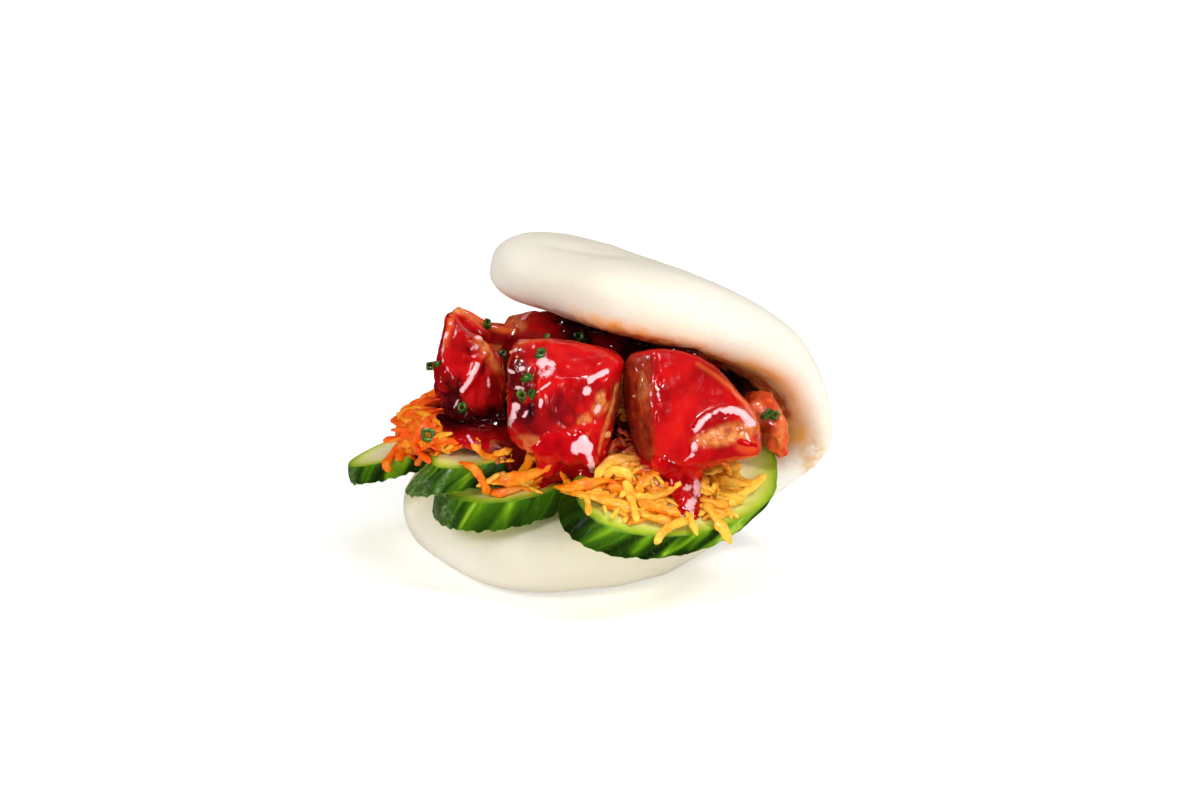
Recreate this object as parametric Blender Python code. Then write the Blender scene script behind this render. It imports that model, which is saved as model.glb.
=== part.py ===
"""A folded steamed bun (gua bao) with cucumber slices, grated carrot and glazed chicken pieces.

Metres, +Z up. The bun stands on its lower leaf, its fold runs along X at the back (+Y), and its
mouth opens towards -Y. The origin is under the middle of the whole thing's box.
"""

import math

import bmesh
import bpy
from mathutils import Euler, Matrix, Vector, noise

MM = 0.001
GAP = 0.4 * MM                          # left between pieces that lie on each other

# The bun: an oval of dough, folded over. Distances "along" run over the fold, which is at 0.
FOLD_LENGTH = 91 * MM
LOWER_REACH = 89 * MM
UPPER_REACH = 70.5 * MM
LOWER_THICKNESS = 19 * MM
UPPER_THICKNESS = 18.3 * MM
FOLD_THICKNESS = 9.6 * MM
FOLD_SOFTNESS = 21 * MM                 # how much dough the turn takes
THIN_ZONE = 28 * MM                     # how far the fold's thinness reaches into the leaves
MOUTH_ANGLE = math.radians(26.7)        # between the leaves, before they curl
LOWER_PITCH = math.radians(1.5)
UPPER_CURL = math.radians(23)           # the upper leaf's tip bends down by this
LOWER_DROOP = math.radians(9.3)         # the lower leaf's tip bends down by this
LOWER_BELLY = 0.66                      # the lower leaf's outside bulges by this share
UPPER_BELLY = 0.035
OVAL_POWER = 2.95
TIP_POWER = 11                          # how squarely the leaves end
NEAR_SIDE_DRAW = 10.5 * MM              # how far the lower leaf's +X side is drawn in
FOOT_DEPTH = 3 * MM                     # how far the soft bottom is pressed flat
SECTION_SHARES = (0.0, 0.3, 0.55, 0.74, 0.86, 0.935, 0.978, 1.0)
STATIONS = 44
LINE_STEPS = 720

# The filling lies in a frame turned about Z: x across the mouth, y deep into it, z up.
FILLING_TURN = math.radians(55.4)

# Cucumber slices, cut slantwise: centre (mm), long and short diameter, thickness (mm),
# heading, pitch and roll (degrees), and how far the peel leans along the slice (mm)
SLICES = {
    "cucumber_right": ((18.3, -34.6, 24.2), (54.5, 35.4), 5.0, (39.9, 3, 19.9), 4.0),
    "cucumber_front": ((-19.3, -25.3, 21.8), (35.1, 31.4), 6.8, (7, 7.2, 3.8), 2.0),
    "cucumber_middle": ((-24.1, -21.4, 28.9), (38.5, 25.7), 6.6, (43.1, 6.8, -1.6), 5.0),
    "cucumber_left": ((-40.7, 0.3, 21.9), (36.9, 29.4), 4.2, (33, 9.8, -15.3), 0.8),
    "cucumber_far": ((-12.4, 26.7, 24.8), (42.0, 35.0), 5.6, (70.1, 2.6, -6.3), 2.5),
}
SLICE_POINTS = 36
PEEL_ROUND = 0.5 * MM

# Glazed chicken pieces: centre (mm), size (mm), turn (degrees about X, Y, Z), how much the top is
# drawn in along x and y, how far the top leans along x (mm), roundness from 0 to 1, and the seed
# of its lumps
CHICKEN = {
    "chicken_left": ((-25.5, -16.2, 50.0), (16.9, 18.9, 27.2), (4.3, 3.9, 5.7), (0.55, 0.4), -4.0, 0.34, 1),
    "chicken_centre": ((-6.9, -31.7, 45.9), (23.4, 21, 23.6), (-7.2, 6.3, 2.1), (-0.05, 0.1), 1.0, 0.24, 2),
    "chicken_right": ((24.1, -33.3, 43.9), (29.7, 19, 24.3), (-16.1, 0.6, 4.2), (0.22, 0.2), -4.5, 0.5, 3),
    "chicken_rear": ((-12.5, 2.3, 44.6), (21, 19.9, 18.6), (6.6, 3.9, 4.3), (0.1, 0.1), 0.0, 0.24, 4),
    "chicken_shade": ((9.5, 2.4, 38.6), (21, 20, 21.5), (0, 11.9, -12.9), (0.05, 0.1), 0.0, 0.2, 5),
    "chicken_fold": ((41.2, -22.8, 35.7), (8.4, 12.8, 16), (-3, -11, 1.2), (0.2, 0.1), 0.0, 0.42, 6),
    "chicken_far": ((-24.6, 23.8, 36.7), (22, 24, 18), (2.8, 1.8, 35), (0.15, 0.15), 0.0, 0.4, 7),
}
CHICKEN_CUTS = 5
LUMP_SIZE = 11 * MM
LUMP_HEIGHT = 1.3 * MM

# The grated carrot: one uneven heap between the slices and the chicken, of overlapping lobes:
# centre (mm), size (mm) and turn (degrees about X, Y, Z)
HEAP_LOBES = (
    ((-5.0, -8.0, 31.5), (84, 60, 22), (0, 0, 0)),
    ((20.0, -31.0, 29.0), (46, 24, 11), (14, -3, 12)),
)
HEAP_LUMP = 9 * MM
HEAP_ROUGHNESS = 1.6 * MM

COLOURS = {
    "bun": ((0.90, 0.85, 0.74), 0.55),
    "cucumber": ((0.07, 0.22, 0.02), 0.35),
    "carrot": ((0.95, 0.36, 0.04), 0.5),
    "chicken": ((0.45, 0.015, 0.01), 0.15),
}


def filling_matrix():
    return Matrix.Rotation(FILLING_TURN, 4, "Z")


def material(name):
    found = bpy.data.materials.get(name)
    if found:
        return found
    colour, roughness = COLOURS[name]
    made = bpy.data.materials.new(name)
    made.use_nodes = True
    shader = made.node_tree.nodes["Principled BSDF"]
    shader.inputs["Base Color"].default_value = (*colour, 1)
    shader.inputs["Roughness"].default_value = roughness
    shader.inputs["Metallic"].default_value = 0
    return made


def add_object(name, mesh, look, matrix=None):
    data = bpy.data.meshes.new(name)
    mesh.to_mesh(data)
    mesh.free()
    data.shade_smooth()
    data.materials.append(material(look))
    piece = bpy.data.objects.new(name, data)
    if matrix is not None:
        piece.matrix_world = matrix
    bpy.context.scene.collection.objects.link(piece)
    return piece


def add_cutter(name, mesh, matrix=None):
    """A helper that only shapes another piece."""
    cutter = add_object(name, mesh, "bun", matrix)
    cutter.hide_render = True
    cutter.display_type = "WIRE"
    return cutter


# --- the bun ---

def dough_angle(along):
    """Direction of the dough's middle line, from +Y, at a distance from the fold line."""
    turn = math.pi - MOUTH_ANGLE - LOWER_PITCH
    angle = LOWER_PITCH + turn * (0.5 + 0.5 * math.tanh(along / FOLD_SOFTNESS))
    if along > 0:
        return angle + UPPER_CURL * (along / UPPER_REACH) ** 2
    return angle + LOWER_DROOP * (along / LOWER_REACH) ** 2


def middle_line():
    """The dough's middle line in the YZ plane: a list of (y, z, angle) at even steps."""
    step = (LOWER_REACH + UPPER_REACH) / LINE_STEPS
    y = z = 0.0
    line = []
    for i in range(LINE_STEPS + 1):
        along = -LOWER_REACH + i * step
        line.append((y, z, dough_angle(along)))
        middle = dough_angle(along + step / 2)
        y += math.cos(middle) * step
        z += math.sin(middle) * step
    return line


def on_line(line, along):
    place = (along + LOWER_REACH) / (LOWER_REACH + UPPER_REACH) * LINE_STEPS
    i = min(max(int(place), 0), LINE_STEPS - 1)
    share = place - i
    return tuple(a + (b - a) * share for a, b in zip(line[i], line[i + 1]))


def leaf_shares(count):
    """Shares of the leaves' reach from -1 to 1, closest together at the fold and at the tips."""
    for i in range(count):
        t = (2 * i + 1) / count - 1
        yield math.sin(math.pi / 2 * (0.62 * t + 0.38 * t ** 3))


def dough_thickness(along):
    to_upper = 0.5 + 0.5 * math.tanh(along / (20 * MM))
    leaf = LOWER_THICKNESS + (UPPER_THICKNESS - LOWER_THICKNESS) * to_upper
    return leaf - (leaf - FOLD_THICKNESS) * math.exp(-((along / THIN_ZONE) ** 2))


def belly(share):
    """How much further the outside stands from the middle line than the inside does."""
    amount, middle = (LOWER_BELLY, -0.45) if share < 0 else (UPPER_BELLY, 0.45)
    place = min(max((share - middle) / 0.55, -1), 1)
    return 1 + amount * math.cos(math.pi / 2 * place) ** 2


def soft_step(value):
    value = min(max(value, 0), 1)
    return value * value * (3 - 2 * value)


def drawn_in(share):
    """How far the lower leaf's +X side is drawn in at a share of the reach."""
    reach = -share
    return NEAR_SIDE_DRAW * soft_step((reach + 0.03) / 0.25) * soft_step((0.97 - reach) / 0.75)


def dough_section(width, half, outward):
    """Points (x, h) round the dough's section: the outside from +x to -x, then the inside back."""
    power = min(max(1.5 * width / half, 2), 9)
    arch = [(share * width, half * max(0, 1 - share ** power) ** 0.5) for share in SECTION_SHARES]
    outside = [(x, h * outward) for x, h in reversed(arch)]
    outside += [(-x, h * outward) for x, h in arch[1:]]
    inside = [(-x, -h) for x, h in reversed(arch[:-1])]
    inside += [(x, -h) for x, h in arch[1:-1]]
    return outside + inside


def bun_mesh(grown=0.0, stations=STATIONS):
    line = middle_line()
    mesh = bmesh.new()
    rings = []
    for share in leaf_shares(stations):
        along = share * (UPPER_REACH if share > 0 else LOWER_REACH)
        y, z, angle = on_line(line, along)
        outwards = Vector((0, math.sin(angle), -math.cos(angle)))
        half = dough_thickness(along) / 2 * (1 - abs(share) ** TIP_POWER) ** 0.5 + grown
        width = FOLD_LENGTH / 2 * (1 - abs(share) ** OVAL_POWER) ** (1 / OVAL_POWER) + grown
        points = dough_section(width, half, belly(share))
        narrowed = 1 - drawn_in(share) / width
        points = [(x * narrowed if x > 0 else x, h) for x, h in points]
        rings.append([mesh.verts.new(Vector((x, y, z)) + outwards * h) for x, h in points])
    for a, b in zip(rings, rings[1:]):
        for i in range(len(a)):
            j = (i + 1) % len(a)
            mesh.faces.new((a[i], a[j], b[j], b[i]))
    for ring, along in ((rings[0], -LOWER_REACH - grown), (rings[-1], UPPER_REACH + grown)):
        y, z, _ = on_line(line, along)
        tip = mesh.verts.new((0, y, z))
        for i in range(len(ring)):
            mesh.faces.new((ring[i], ring[(i + 1) % len(ring)], tip))
    bmesh.ops.recalc_face_normals(mesh, faces=mesh.faces)
    return mesh


def press_flat(mesh, floor):
    """Sets the mesh down, with the part of it that is under the floor pressed flat."""
    for vertex in mesh.verts:
        vertex.co.z = max(vertex.co.z - floor, 0)


def bun_floor():
    mesh = bun_mesh()
    low = min(vertex.co.z for vertex in mesh.verts)
    mesh.free()
    return low + FOOT_DEPTH


def centred(mesh, floor):
    press_flat(mesh, floor)
    bmesh.ops.translate(mesh, verts=mesh.verts, vec=(0, -LOWER_REACH / 2, 0))
    return mesh


# --- the filling ---

def place(centre, degrees):
    turned = Euler([math.radians(a) for a in degrees], "XYZ").to_matrix().to_4x4()
    return filling_matrix() @ Matrix.Translation(Vector(centre) * MM) @ turned


def slice_place(centre, heading, pitch, roll):
    turned = (
        Matrix.Rotation(math.radians(heading), 4, "Z")
        @ Matrix.Rotation(math.radians(-pitch), 4, "Y")
        @ Matrix.Rotation(math.radians(roll), 4, "X")
    )
    return filling_matrix() @ Matrix.Translation(Vector(centre) * MM) @ turned


def slice_mesh(long, short, thick, lean, grown=0.0):
    """An oval slice whose peel leans along its long axis, because it was cut slantwise."""
    mesh = bmesh.new()
    half = thick / 2 + grown
    rings = []
    for level, inset in ((1, PEEL_ROUND), (1 - PEEL_ROUND / half, 0), (PEEL_ROUND / half - 1, 0),
                         (-1, PEEL_ROUND)):
        ring = []
        for i in range(SLICE_POINTS):
            angle = 2 * math.pi * i / SLICE_POINTS
            x = (long / 2 + grown - inset) * math.cos(angle) + lean * level / 2
            y = (short / 2 + grown - inset) * math.sin(angle)
            ring.append(mesh.verts.new((x, y, half * level)))
        rings.append(ring)
    for a, b in zip(rings, rings[1:]):
        for i in range(SLICE_POINTS):
            j = (i + 1) % SLICE_POINTS
            mesh.faces.new((a[i], b[i], b[j], a[j]))
    mesh.faces.new(rings[0])
    mesh.faces.new(list(reversed(rings[-1])))
    bmesh.ops.recalc_face_normals(mesh, faces=mesh.faces)
    return mesh


def chunk_mesh(size, taper, lean, roundness, seed, grown=0.0):
    """A lump of meat: a rounded block, drawn in towards its top, with soft lumps."""
    mesh = bmesh.new()
    bmesh.ops.create_cube(mesh, size=2)
    bmesh.ops.subdivide_edges(mesh, edges=mesh.edges, cuts=CHICKEN_CUTS,
                              use_grid_fill=True)
    start = Vector((seed * 7.3, seed * 3.1, seed * 5.7))
    for vertex in mesh.verts:
        block = vertex.co.copy()
        ball = block.normalized() * 1.22
        shape = block.lerp(ball, roundness + 0.12)
        shape.x *= 1 - taper[0] * (shape.z + 1) / 2
        shape.y *= 1 - taper[1] * (shape.z + 1) / 2
        point = Vector([shape[i] * size[i] * MM / 2 for i in range(3)])
        point.x += lean * MM * (shape.z + 1) / 2
        outwards = ball.normalized()
        lump = noise.noise(point / LUMP_SIZE + start) * LUMP_HEIGHT
        vertex.co = point + outwards * (lump + grown)
    bmesh.ops.recalc_face_normals(mesh, faces=mesh.faces)
    return mesh


def lobe_mesh(size):
    mesh = bmesh.new()
    bmesh.ops.create_icosphere(mesh, subdivisions=3, radius=1)
    for vertex in mesh.verts:
        point = Vector([vertex.co[i] * size[i] * MM / 2 for i in range(3)])
        vertex.co = point + vertex.co * noise.noise(point / HEAP_LUMP) * HEAP_ROUGHNESS
    bmesh.ops.recalc_face_normals(mesh, faces=mesh.faces)
    return mesh


def combine(piece, operation, helper):
    modifier = piece.modifiers.new(operation.lower() + " " + helper.name, "BOOLEAN")
    modifier.operation = operation
    modifier.solver = "EXACT"
    modifier.object = helper


# --- the whole ---

def put_on_origin():
    """Moves everything so that the origin is under the middle of the box of all pieces."""
    bpy.context.view_layer.update()
    depsgraph = bpy.context.evaluated_depsgraph_get()
    pieces = [piece for piece in bpy.data.objects if not piece.hide_render]
    corners = []
    for piece in pieces:
        finished = piece.evaluated_get(depsgraph)
        corners += [finished.matrix_world @ vertex.co for vertex in finished.data.vertices]
    middle_x = (min(c.x for c in corners) + max(c.x for c in corners)) / 2
    middle_y = (min(c.y for c in corners) + max(c.y for c in corners)) / 2
    move = Matrix.Translation((-middle_x, -middle_y, 0))
    for piece in bpy.data.objects:
        piece.matrix_world = move @ piece.matrix_world


def build():
    for old in list(bpy.data.objects):
        bpy.data.objects.remove(old)
    floor = bun_floor()
    add_object("bun", centred(bun_mesh(), floor), "bun")
    cutters = [add_cutter("cut_bun", centred(bun_mesh(GAP, stations=30), floor))]
    for name, (centre, (long, short), thick, turn, lean) in SLICES.items():
        matrix = slice_place(centre, *turn)
        sizes = [v * MM for v in (long, short, thick, lean)]
        add_object(name, slice_mesh(*sizes), "cucumber", matrix)
        cutters.append(add_cutter("cut_" + name, slice_mesh(*sizes, grown=GAP), matrix))
    for name, (centre, size, turn, *shape) in CHICKEN.items():
        matrix = place(centre, turn)
        add_object(name, chunk_mesh(size, *shape), "chicken", matrix)
        cutters.append(add_cutter("cut_" + name, chunk_mesh(size, *shape, grown=GAP), matrix))
    (centre, size, turn), *others = HEAP_LOBES
    heap = add_object("carrot_heap", lobe_mesh(size), "carrot", place(centre, turn))
    for i, (centre, size, turn) in enumerate(others):
        combine(heap, "UNION", add_cutter(f"lobe_{i}", lobe_mesh(size), place(centre, turn)))
    for cutter in cutters:
        combine(heap, "DIFFERENCE", cutter)
    put_on_origin()


build()
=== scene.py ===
"""The looks of a bao bun with glazed chicken, grated carrot and cucumber, built round its CAD frame."""
import math

import bmesh
import bpy
import numpy as np
from mathutils import Matrix, Vector
from mathutils.bvhtree import BVHTree


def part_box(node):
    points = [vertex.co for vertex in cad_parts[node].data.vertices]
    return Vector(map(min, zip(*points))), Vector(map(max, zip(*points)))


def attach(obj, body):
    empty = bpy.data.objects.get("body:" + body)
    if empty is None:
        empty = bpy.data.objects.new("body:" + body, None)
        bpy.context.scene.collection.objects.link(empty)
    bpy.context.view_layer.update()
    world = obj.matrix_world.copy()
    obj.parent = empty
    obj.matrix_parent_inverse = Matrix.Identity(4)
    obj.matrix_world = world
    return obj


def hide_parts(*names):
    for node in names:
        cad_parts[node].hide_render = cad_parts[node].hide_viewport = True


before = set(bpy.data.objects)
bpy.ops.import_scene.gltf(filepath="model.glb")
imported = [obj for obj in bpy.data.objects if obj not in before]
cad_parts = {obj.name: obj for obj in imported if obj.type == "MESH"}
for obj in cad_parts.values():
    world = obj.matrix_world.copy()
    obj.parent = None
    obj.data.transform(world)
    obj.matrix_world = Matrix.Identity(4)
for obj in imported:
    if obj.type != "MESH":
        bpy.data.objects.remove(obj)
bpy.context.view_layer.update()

MM = 0.001

# --- the camera: 0.62 m from a point over the bun's own middle, a little left of the picture's centre ---
BUN_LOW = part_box("bun")[0]
AZIMUTH, ELEVATION, DISTANCE = math.radians(55.4), math.radians(18.5), 0.62
PICTURE_PX, FOCAL_PX, AIM_PX = (1200, 800), 2600.0, (589.0, 394.0)
AIM = np.array([BUN_LOW.x + 0.0455, BUN_LOW.y + 0.0446, 0.036])
RIGHT = np.array([math.cos(AZIMUTH), math.sin(AZIMUTH), 0.0])
AWAY = np.array([-math.sin(AZIMUTH), math.cos(AZIMUTH), 0.0])
UPRIGHT = np.array([0.0, 0.0, 1.0])
BACK = UPRIGHT * math.sin(ELEVATION) - AWAY * math.cos(ELEVATION)
UP = np.cross(BACK, RIGHT)
EYE = AIM + BACK * DISTANCE


def to_px(points):
    """Where points of the model fall in the picture: arrays u, v."""
    d = np.atleast_2d(points) - EYE
    depth = -(d @ BACK)
    return AIM_PX[0] + FOCAL_PX * (d @ RIGHT) / depth, AIM_PX[1] - FOCAL_PX * (d @ UP) / depth


def view_way(right, away, up):
    """A direction given across the view, away from the eye and up."""
    return RIGHT * right + AWAY * away + UPRIGHT * up


def px_place(u, v, depth):
    """The point that the picture shows at (u, v) and that lies depth metres in front of the eye."""
    return EYE + (RIGHT * (u - AIM_PX[0]) / FOCAL_PX - UP * (v - AIM_PX[1]) / FOCAL_PX - BACK) * depth


# --- numbers that look random but are always the same ---
def lattice(ix, iy, iz, seed):
    """A number from 0 to 1 for each corner of a lattice, hashed with large primes."""
    h = (ix * 73856093) ^ (iy * 19349663) ^ (iz * 83492791) ^ (seed * 265443576)
    h &= 0x7FFFFFFF
    h = ((h ^ (h >> 13)) * 1274126177) & 0x7FFFFFFF
    h = ((h ^ (h >> 15)) * 668265263) & 0x7FFFFFFF
    return (h ^ (h >> 16)) / 0x7FFFFFFF


def lumps(points, size, seed=0):
    """Smooth value noise from -1 to 1 with features of about size metres."""
    p = np.asarray(points) / size + 100
    i = np.floor(p).astype(np.int64)
    f = p - i
    f = f * f * f * (f * (f * 6 - 15) + 10)
    total = np.zeros(len(p))
    for corner in np.ndindex(2, 2, 2):
        total += np.prod(np.where(corner, f, 1 - f), axis=1) * lattice(*(i + corner).T, seed)
    return total * 2 - 1


def smoothstep(low, high, x):
    t = np.clip((np.asarray(x, float) - low) / (high - low), 0, 1)
    return t * t * (3 - 2 * t)


def unit(vector):
    return vector / (np.linalg.norm(vector) + 1e-9)


# --- places of the picture, in px ---
def stretch(x, fade_in, fade_out):
    """1 between the end of fade_in and the start of fade_out, and 0 beyond them."""
    return smoothstep(*fade_in, x) * smoothstep(*fade_out, x)


def spot(u, v, centre, radii, turn=0.0, soft=0.35):
    """1 inside an ellipse, 0 outside, with a soft edge."""
    c, s = math.cos(math.radians(turn)), math.sin(math.radians(turn))
    du, dv = u - centre[0], v - centre[1]
    a, b = (du * c - dv * s) / radii[0], (du * s + dv * c) / radii[1]
    return smoothstep(1 + soft, 1 - soft, np.sqrt(a * a + b * b))


def along(u, v, line, width):
    """1 on the line through the points, falling off over width."""
    best = np.full(len(u), 1e9)
    for (u0, v0), (u1, v1) in zip(line[:-1], line[1:]):
        du, dv = u1 - u0, v1 - v0
        t = np.clip(((u - u0) * du + (v - v0) * dv) / (du * du + dv * dv), 0, 1)
        best = np.minimum(best, np.hypot(u - u0 - t * du, v - v0 - t * dv))
    return np.exp(-(best / width) ** 2)


def painted(u, v, *marks):
    """The sum of marks. A mark is its strength with the arguments of along or of spot."""
    total = np.zeros(len(u))
    for strength, where, *rest in marks:
        total += strength * (spot if np.ndim(where) == 1 else along)(u, v, where, *rest)
    return total


def in_outline(u, v, outline):
    inside = False
    for (u0, v0), (u1, v1) in zip(outline, outline[1:] + outline[:1]):
        if (v0 > v) != (v1 > v) and u < (u1 - u0) * (v - v0) / (v1 - v0) + u0:
            inside = not inside
    return inside


def nudged(co, pairs, reach=26.0, hold=1e-3):
    """Moves a piece across the view, so that for each pair what the camera saw at u0, v0 comes to u1, v1."""
    u, v = to_px(co)
    total = np.full(len(co), hold)
    du, dv = np.zeros(len(co)), np.zeros(len(co))
    for u0, v0, u1, v1 in pairs:
        w = np.exp(-((u - u0) ** 2 + (v - v0) ** 2) / (2 * reach * reach))
        total += w
        du += w * (u1 - u0)
        dv += w * (v1 - v0)
    scale = -((co - EYE) @ BACK) / FOCAL_PX / total
    return co + np.outer(du * scale, RIGHT) - np.outer(dv * scale, UP)


# --- meshes ---
def new_object(name, verts, faces):
    mesh = bpy.data.meshes.new(name)
    mesh.from_pydata([tuple(v) for v in verts], [], [tuple(int(i) for i in f) for f in faces])
    mesh.update()
    return link_object(name, mesh)


def link_object(name, data):
    piece = bpy.data.objects.new(name, data)
    bpy.context.scene.collection.objects.link(piece)
    return piece


def applied(piece):
    """Replaces a piece's mesh by what its modifiers make of it."""
    bpy.context.view_layer.update()
    finished = piece.evaluated_get(bpy.context.evaluated_depsgraph_get())
    mesh = bpy.data.meshes.new_from_object(finished)
    piece.modifiers.clear()
    old, piece.data = piece.data, mesh
    bpy.data.meshes.remove(old)
    return piece


def rounded(piece, levels):
    modifier = piece.modifiers.new("smooth", "SUBSURF")
    modifier.levels = modifier.render_levels = levels


def edited(source, target, *jobs):
    """The mesh target, made of the mesh source by jobs on its elements."""
    bm = bmesh.new()
    bm.from_mesh(source)
    for job in jobs:
        job(bm)
    bm.to_mesh(target)
    bm.free()
    return target


def remeshed(piece, voxel, times_relaxed):
    """Gives a piece an even mesh, and returns its mesh, its relaxed points and its edges."""
    modifier = piece.modifiers.new("remesh", "REMESH")
    modifier.mode = "VOXEL"
    modifier.voxel_size = voxel
    mesh = applied(piece).data
    edges = read(mesh.edges, "vertices", 2, np.int64)
    return mesh, relaxed(coordinates(mesh), edges, times_relaxed), edges


def remeshed_node(node, name, voxel, times_relaxed, levels=0):
    """A copy of a CAD solid with an even mesh."""
    piece = link_object(name, edited(
        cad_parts[node].data, bpy.data.meshes.new(name),
        lambda bm: bmesh.ops.remove_doubles(bm, verts=bm.verts, dist=1e-6),
        lambda bm: bmesh.ops.join_triangles(bm, faces=bm.faces, angle_face_threshold=0.6,
                                            angle_shape_threshold=0.9)))
    if levels:
        rounded(piece, levels)
    return piece, *remeshed(piece, voxel, times_relaxed)


def read(items, field, width, kind=float):
    """A row of numbers for each item."""
    out = np.empty(len(items) * width, kind)
    items.foreach_get(field, out)
    return out.reshape(-1, width)


def coordinates(mesh):
    return read(mesh.vertices, "co", 3)


def normals(mesh):
    return read(mesh.vertex_normals, "vector", 3, np.float32).astype(float)


def put_coordinates(mesh, co):
    """Moves a mesh's points and returns its new normals."""
    mesh.vertices.foreach_set("co", co.ravel())
    mesh.update()
    return normals(mesh)


def relaxed(values, edges, times):
    """Values drawn halfway to the mean of their neighbours, times over."""
    a, b = edges.T
    n = len(values)
    count = np.maximum(np.bincount(a, minlength=n) + np.bincount(b, minlength=n), 1)
    for _ in range(times):
        sums = [np.bincount(a, column[b], n) + np.bincount(b, column[a], n) for column in values.T]
        values = values + (np.stack(sums, 1) / count[:, None] - values) * 0.5
    return values


def add_masks(mesh, **masks):
    for name, values in masks.items():
        layer = mesh.attributes.new(name, "FLOAT", "POINT")
        layer.data.foreach_set("value", np.clip(values, 0, 1).astype(np.float32))


def tree_of(*pieces):
    verts, faces = [], []
    for piece in pieces:
        start = len(verts)
        verts += [v.co.copy() for v in piece.data.vertices]
        faces += [[i + start for i in p.vertices] for p in piece.data.polygons]
    return BVHTree.FromPolygons(verts, faces)


def px_hit(tree, u, v):
    """The place and the normal of what the picture's point (u, v) shows, or None twice."""
    return tree.ray_cast(Vector(EYE), Vector(unit(px_place(u, v, 1.0) - EYE)))[:2]


def distance_to(tree, points, limit):
    found = (tree.find_nearest(Vector(p), limit)[3] for p in points)
    return np.array([limit if d is None else d for d in found])


def finish_piece(piece, material, slot, *replaced):
    mesh = piece.data
    mesh.polygons.foreach_set("use_smooth", [True] * len(mesh.polygons))
    mesh.materials.clear()
    mesh.materials.append(material)
    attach(piece, "root")
    for node in replaced:
        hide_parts(node)
    return piece


# --- materials ---
def srgb(r, g, b):
    """A linear colour from the 0-255 numbers that a screen shows."""
    return tuple(c / 255 / 12.92 if c <= 10 else ((c / 255 + 0.055) / 1.055) ** 2.4 for c in (r, g, b))


class Shader:
    """A Principled material and short ways to wire it. Colours are given in a screen's numbers."""

    def __init__(self, name, **values):
        self.material = bpy.data.materials.new(name)
        self.material.use_nodes = True
        self.tree = self.material.node_tree
        self.principled = self.tree.nodes["Principled BSDF"]
        self.coords = self.tree.nodes.new("ShaderNodeTexCoord").outputs["Object"]
        self.give(self.principled, **values)

    def give(self, node, **values):
        """Wires each socket of a node to an output, or sets it to a fixed value, and returns the node."""
        for key, value in values.items():
            socket = node.inputs[int(key[1:]) if key[1:].isdigit() else key.replace("_", " ")]
            if isinstance(value, bpy.types.NodeSocket):
                self.tree.links.new(value, socket)
            else:
                socket.default_value = value
        return node

    def new(self, kind, **values):
        return self.give(self.tree.nodes.new("ShaderNode" + kind), **values)

    def plug(self, **outputs):
        self.give(self.principled, **outputs)

    def noise(self, size, detail=3.0, roughness=0.55):
        return self.new("TexNoise", Vector=self.coords, Scale=1 / size, Detail=detail,
                        Roughness=roughness).outputs["Fac"]

    def mask(self, name):
        node = self.new("Attribute")
        node.attribute_name = name
        return node.outputs["Fac"]

    def patchy(self, name):
        """A mask whose edge is broken up like the edge of a reflection."""
        ragged = self.math("ADD", self.mask(name), self.math("MULTIPLY", self.noise(0.0008, 3, 0.6), 0.5))
        return self.remap(ragged, 0.55, 0.68, 0, 0.85)

    def remap(self, value, low, high, to_low=0.0, to_high=1.0):
        return self.new("MapRange", Value=value, From_Min=low, From_Max=high, To_Min=to_low,
                        To_Max=to_high).outputs["Result"]

    def math(self, operation, a, b):
        node = self.new("Math", _0=a, _1=b)
        node.operation = operation
        return node.outputs[0]

    def mix(self, factor, a, b):
        node = self.tree.nodes.new("ShaderNodeMix")
        node.data_type = "RGBA"
        return self.give(node, _0=factor, _6=a, _7=(*srgb(*b), 1) if isinstance(b, tuple) else b).outputs[2]

    def ramp(self, factor, *stops):
        """Stops are a place from 0 to 1 with a colour's three numbers."""
        node = self.new("ValToRGB", Fac=factor)
        elements = node.color_ramp.elements
        while len(elements) < len(stops):
            elements.new(0.5)
        for element, (place, *colour) in zip(elements, stops):
            element.position = place
            element.color = (*srgb(*colour), 1)
        return node.outputs["Color"]

    def finish(self, colour, height, depth):
        """The material, with its colour and with bumps depth metres high."""
        bump = self.new("Bump", Height=height, Distance=depth, Strength=1.0)
        self.plug(Base_Color=colour, Normal=bump.outputs["Normal"])
        return self.material


def dough_material():
    s = Shader("dough", IOR=1.4, Subsurface_Weight=0.3, Subsurface_Radius=(1.0, 0.82, 0.6),
               Subsurface_Scale=0.003, Specular_IOR_Level=0.3)
    colour = s.ramp(s.noise(0.03, 3), (0.3, 232, 225, 209), (0.7, 238, 233, 223))
    fleck = s.remap(s.noise(0.0022, 2), 0.6, 0.75, 0, 0.3)
    torn = s.math("MULTIPLY", s.mask("torn"), s.remap(s.noise(0.003, 4, 0.7), 0.4, 0.6, 0.1, 1.0))
    tint = s.math("MULTIPLY", s.mask("tint"), s.remap(s.noise(0.006, 3), 0.3, 0.7, 0.6, 1.0))
    stain = s.math("MULTIPLY", s.mask("stain"), s.remap(s.noise(0.0025, 4), 0.35, 0.55, 0.35, 1.0))
    # Painted shade darkens the lower leaf and the upper leaf's middle and left
    for amount, over in ((fleck, (230, 216, 190)), (torn, (226, 188, 138)),
                         (s.mask("lower"), (216, 207, 186)), (s.mask("cream"), (224, 214, 190)),
                         # The near-black is painted shade in the mouth, and glaze stain where the chicken
                         # touches
                         (tint, (255, 178, 74)), (stain, (196, 84, 36)), (s.mask("dark"), (30, 3, 1))):
        colour = s.mix(amount, colour, over)
    s.plug(Roughness=s.remap(s.noise(0.004, 3), 0.3, 0.7, 0.42, 0.56))
    height = s.math("ADD", s.math("MULTIPLY", s.noise(0.0011, 3), 0.6), s.noise(0.0045, 2))
    return s.finish(colour, height, 0.0002)


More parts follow.
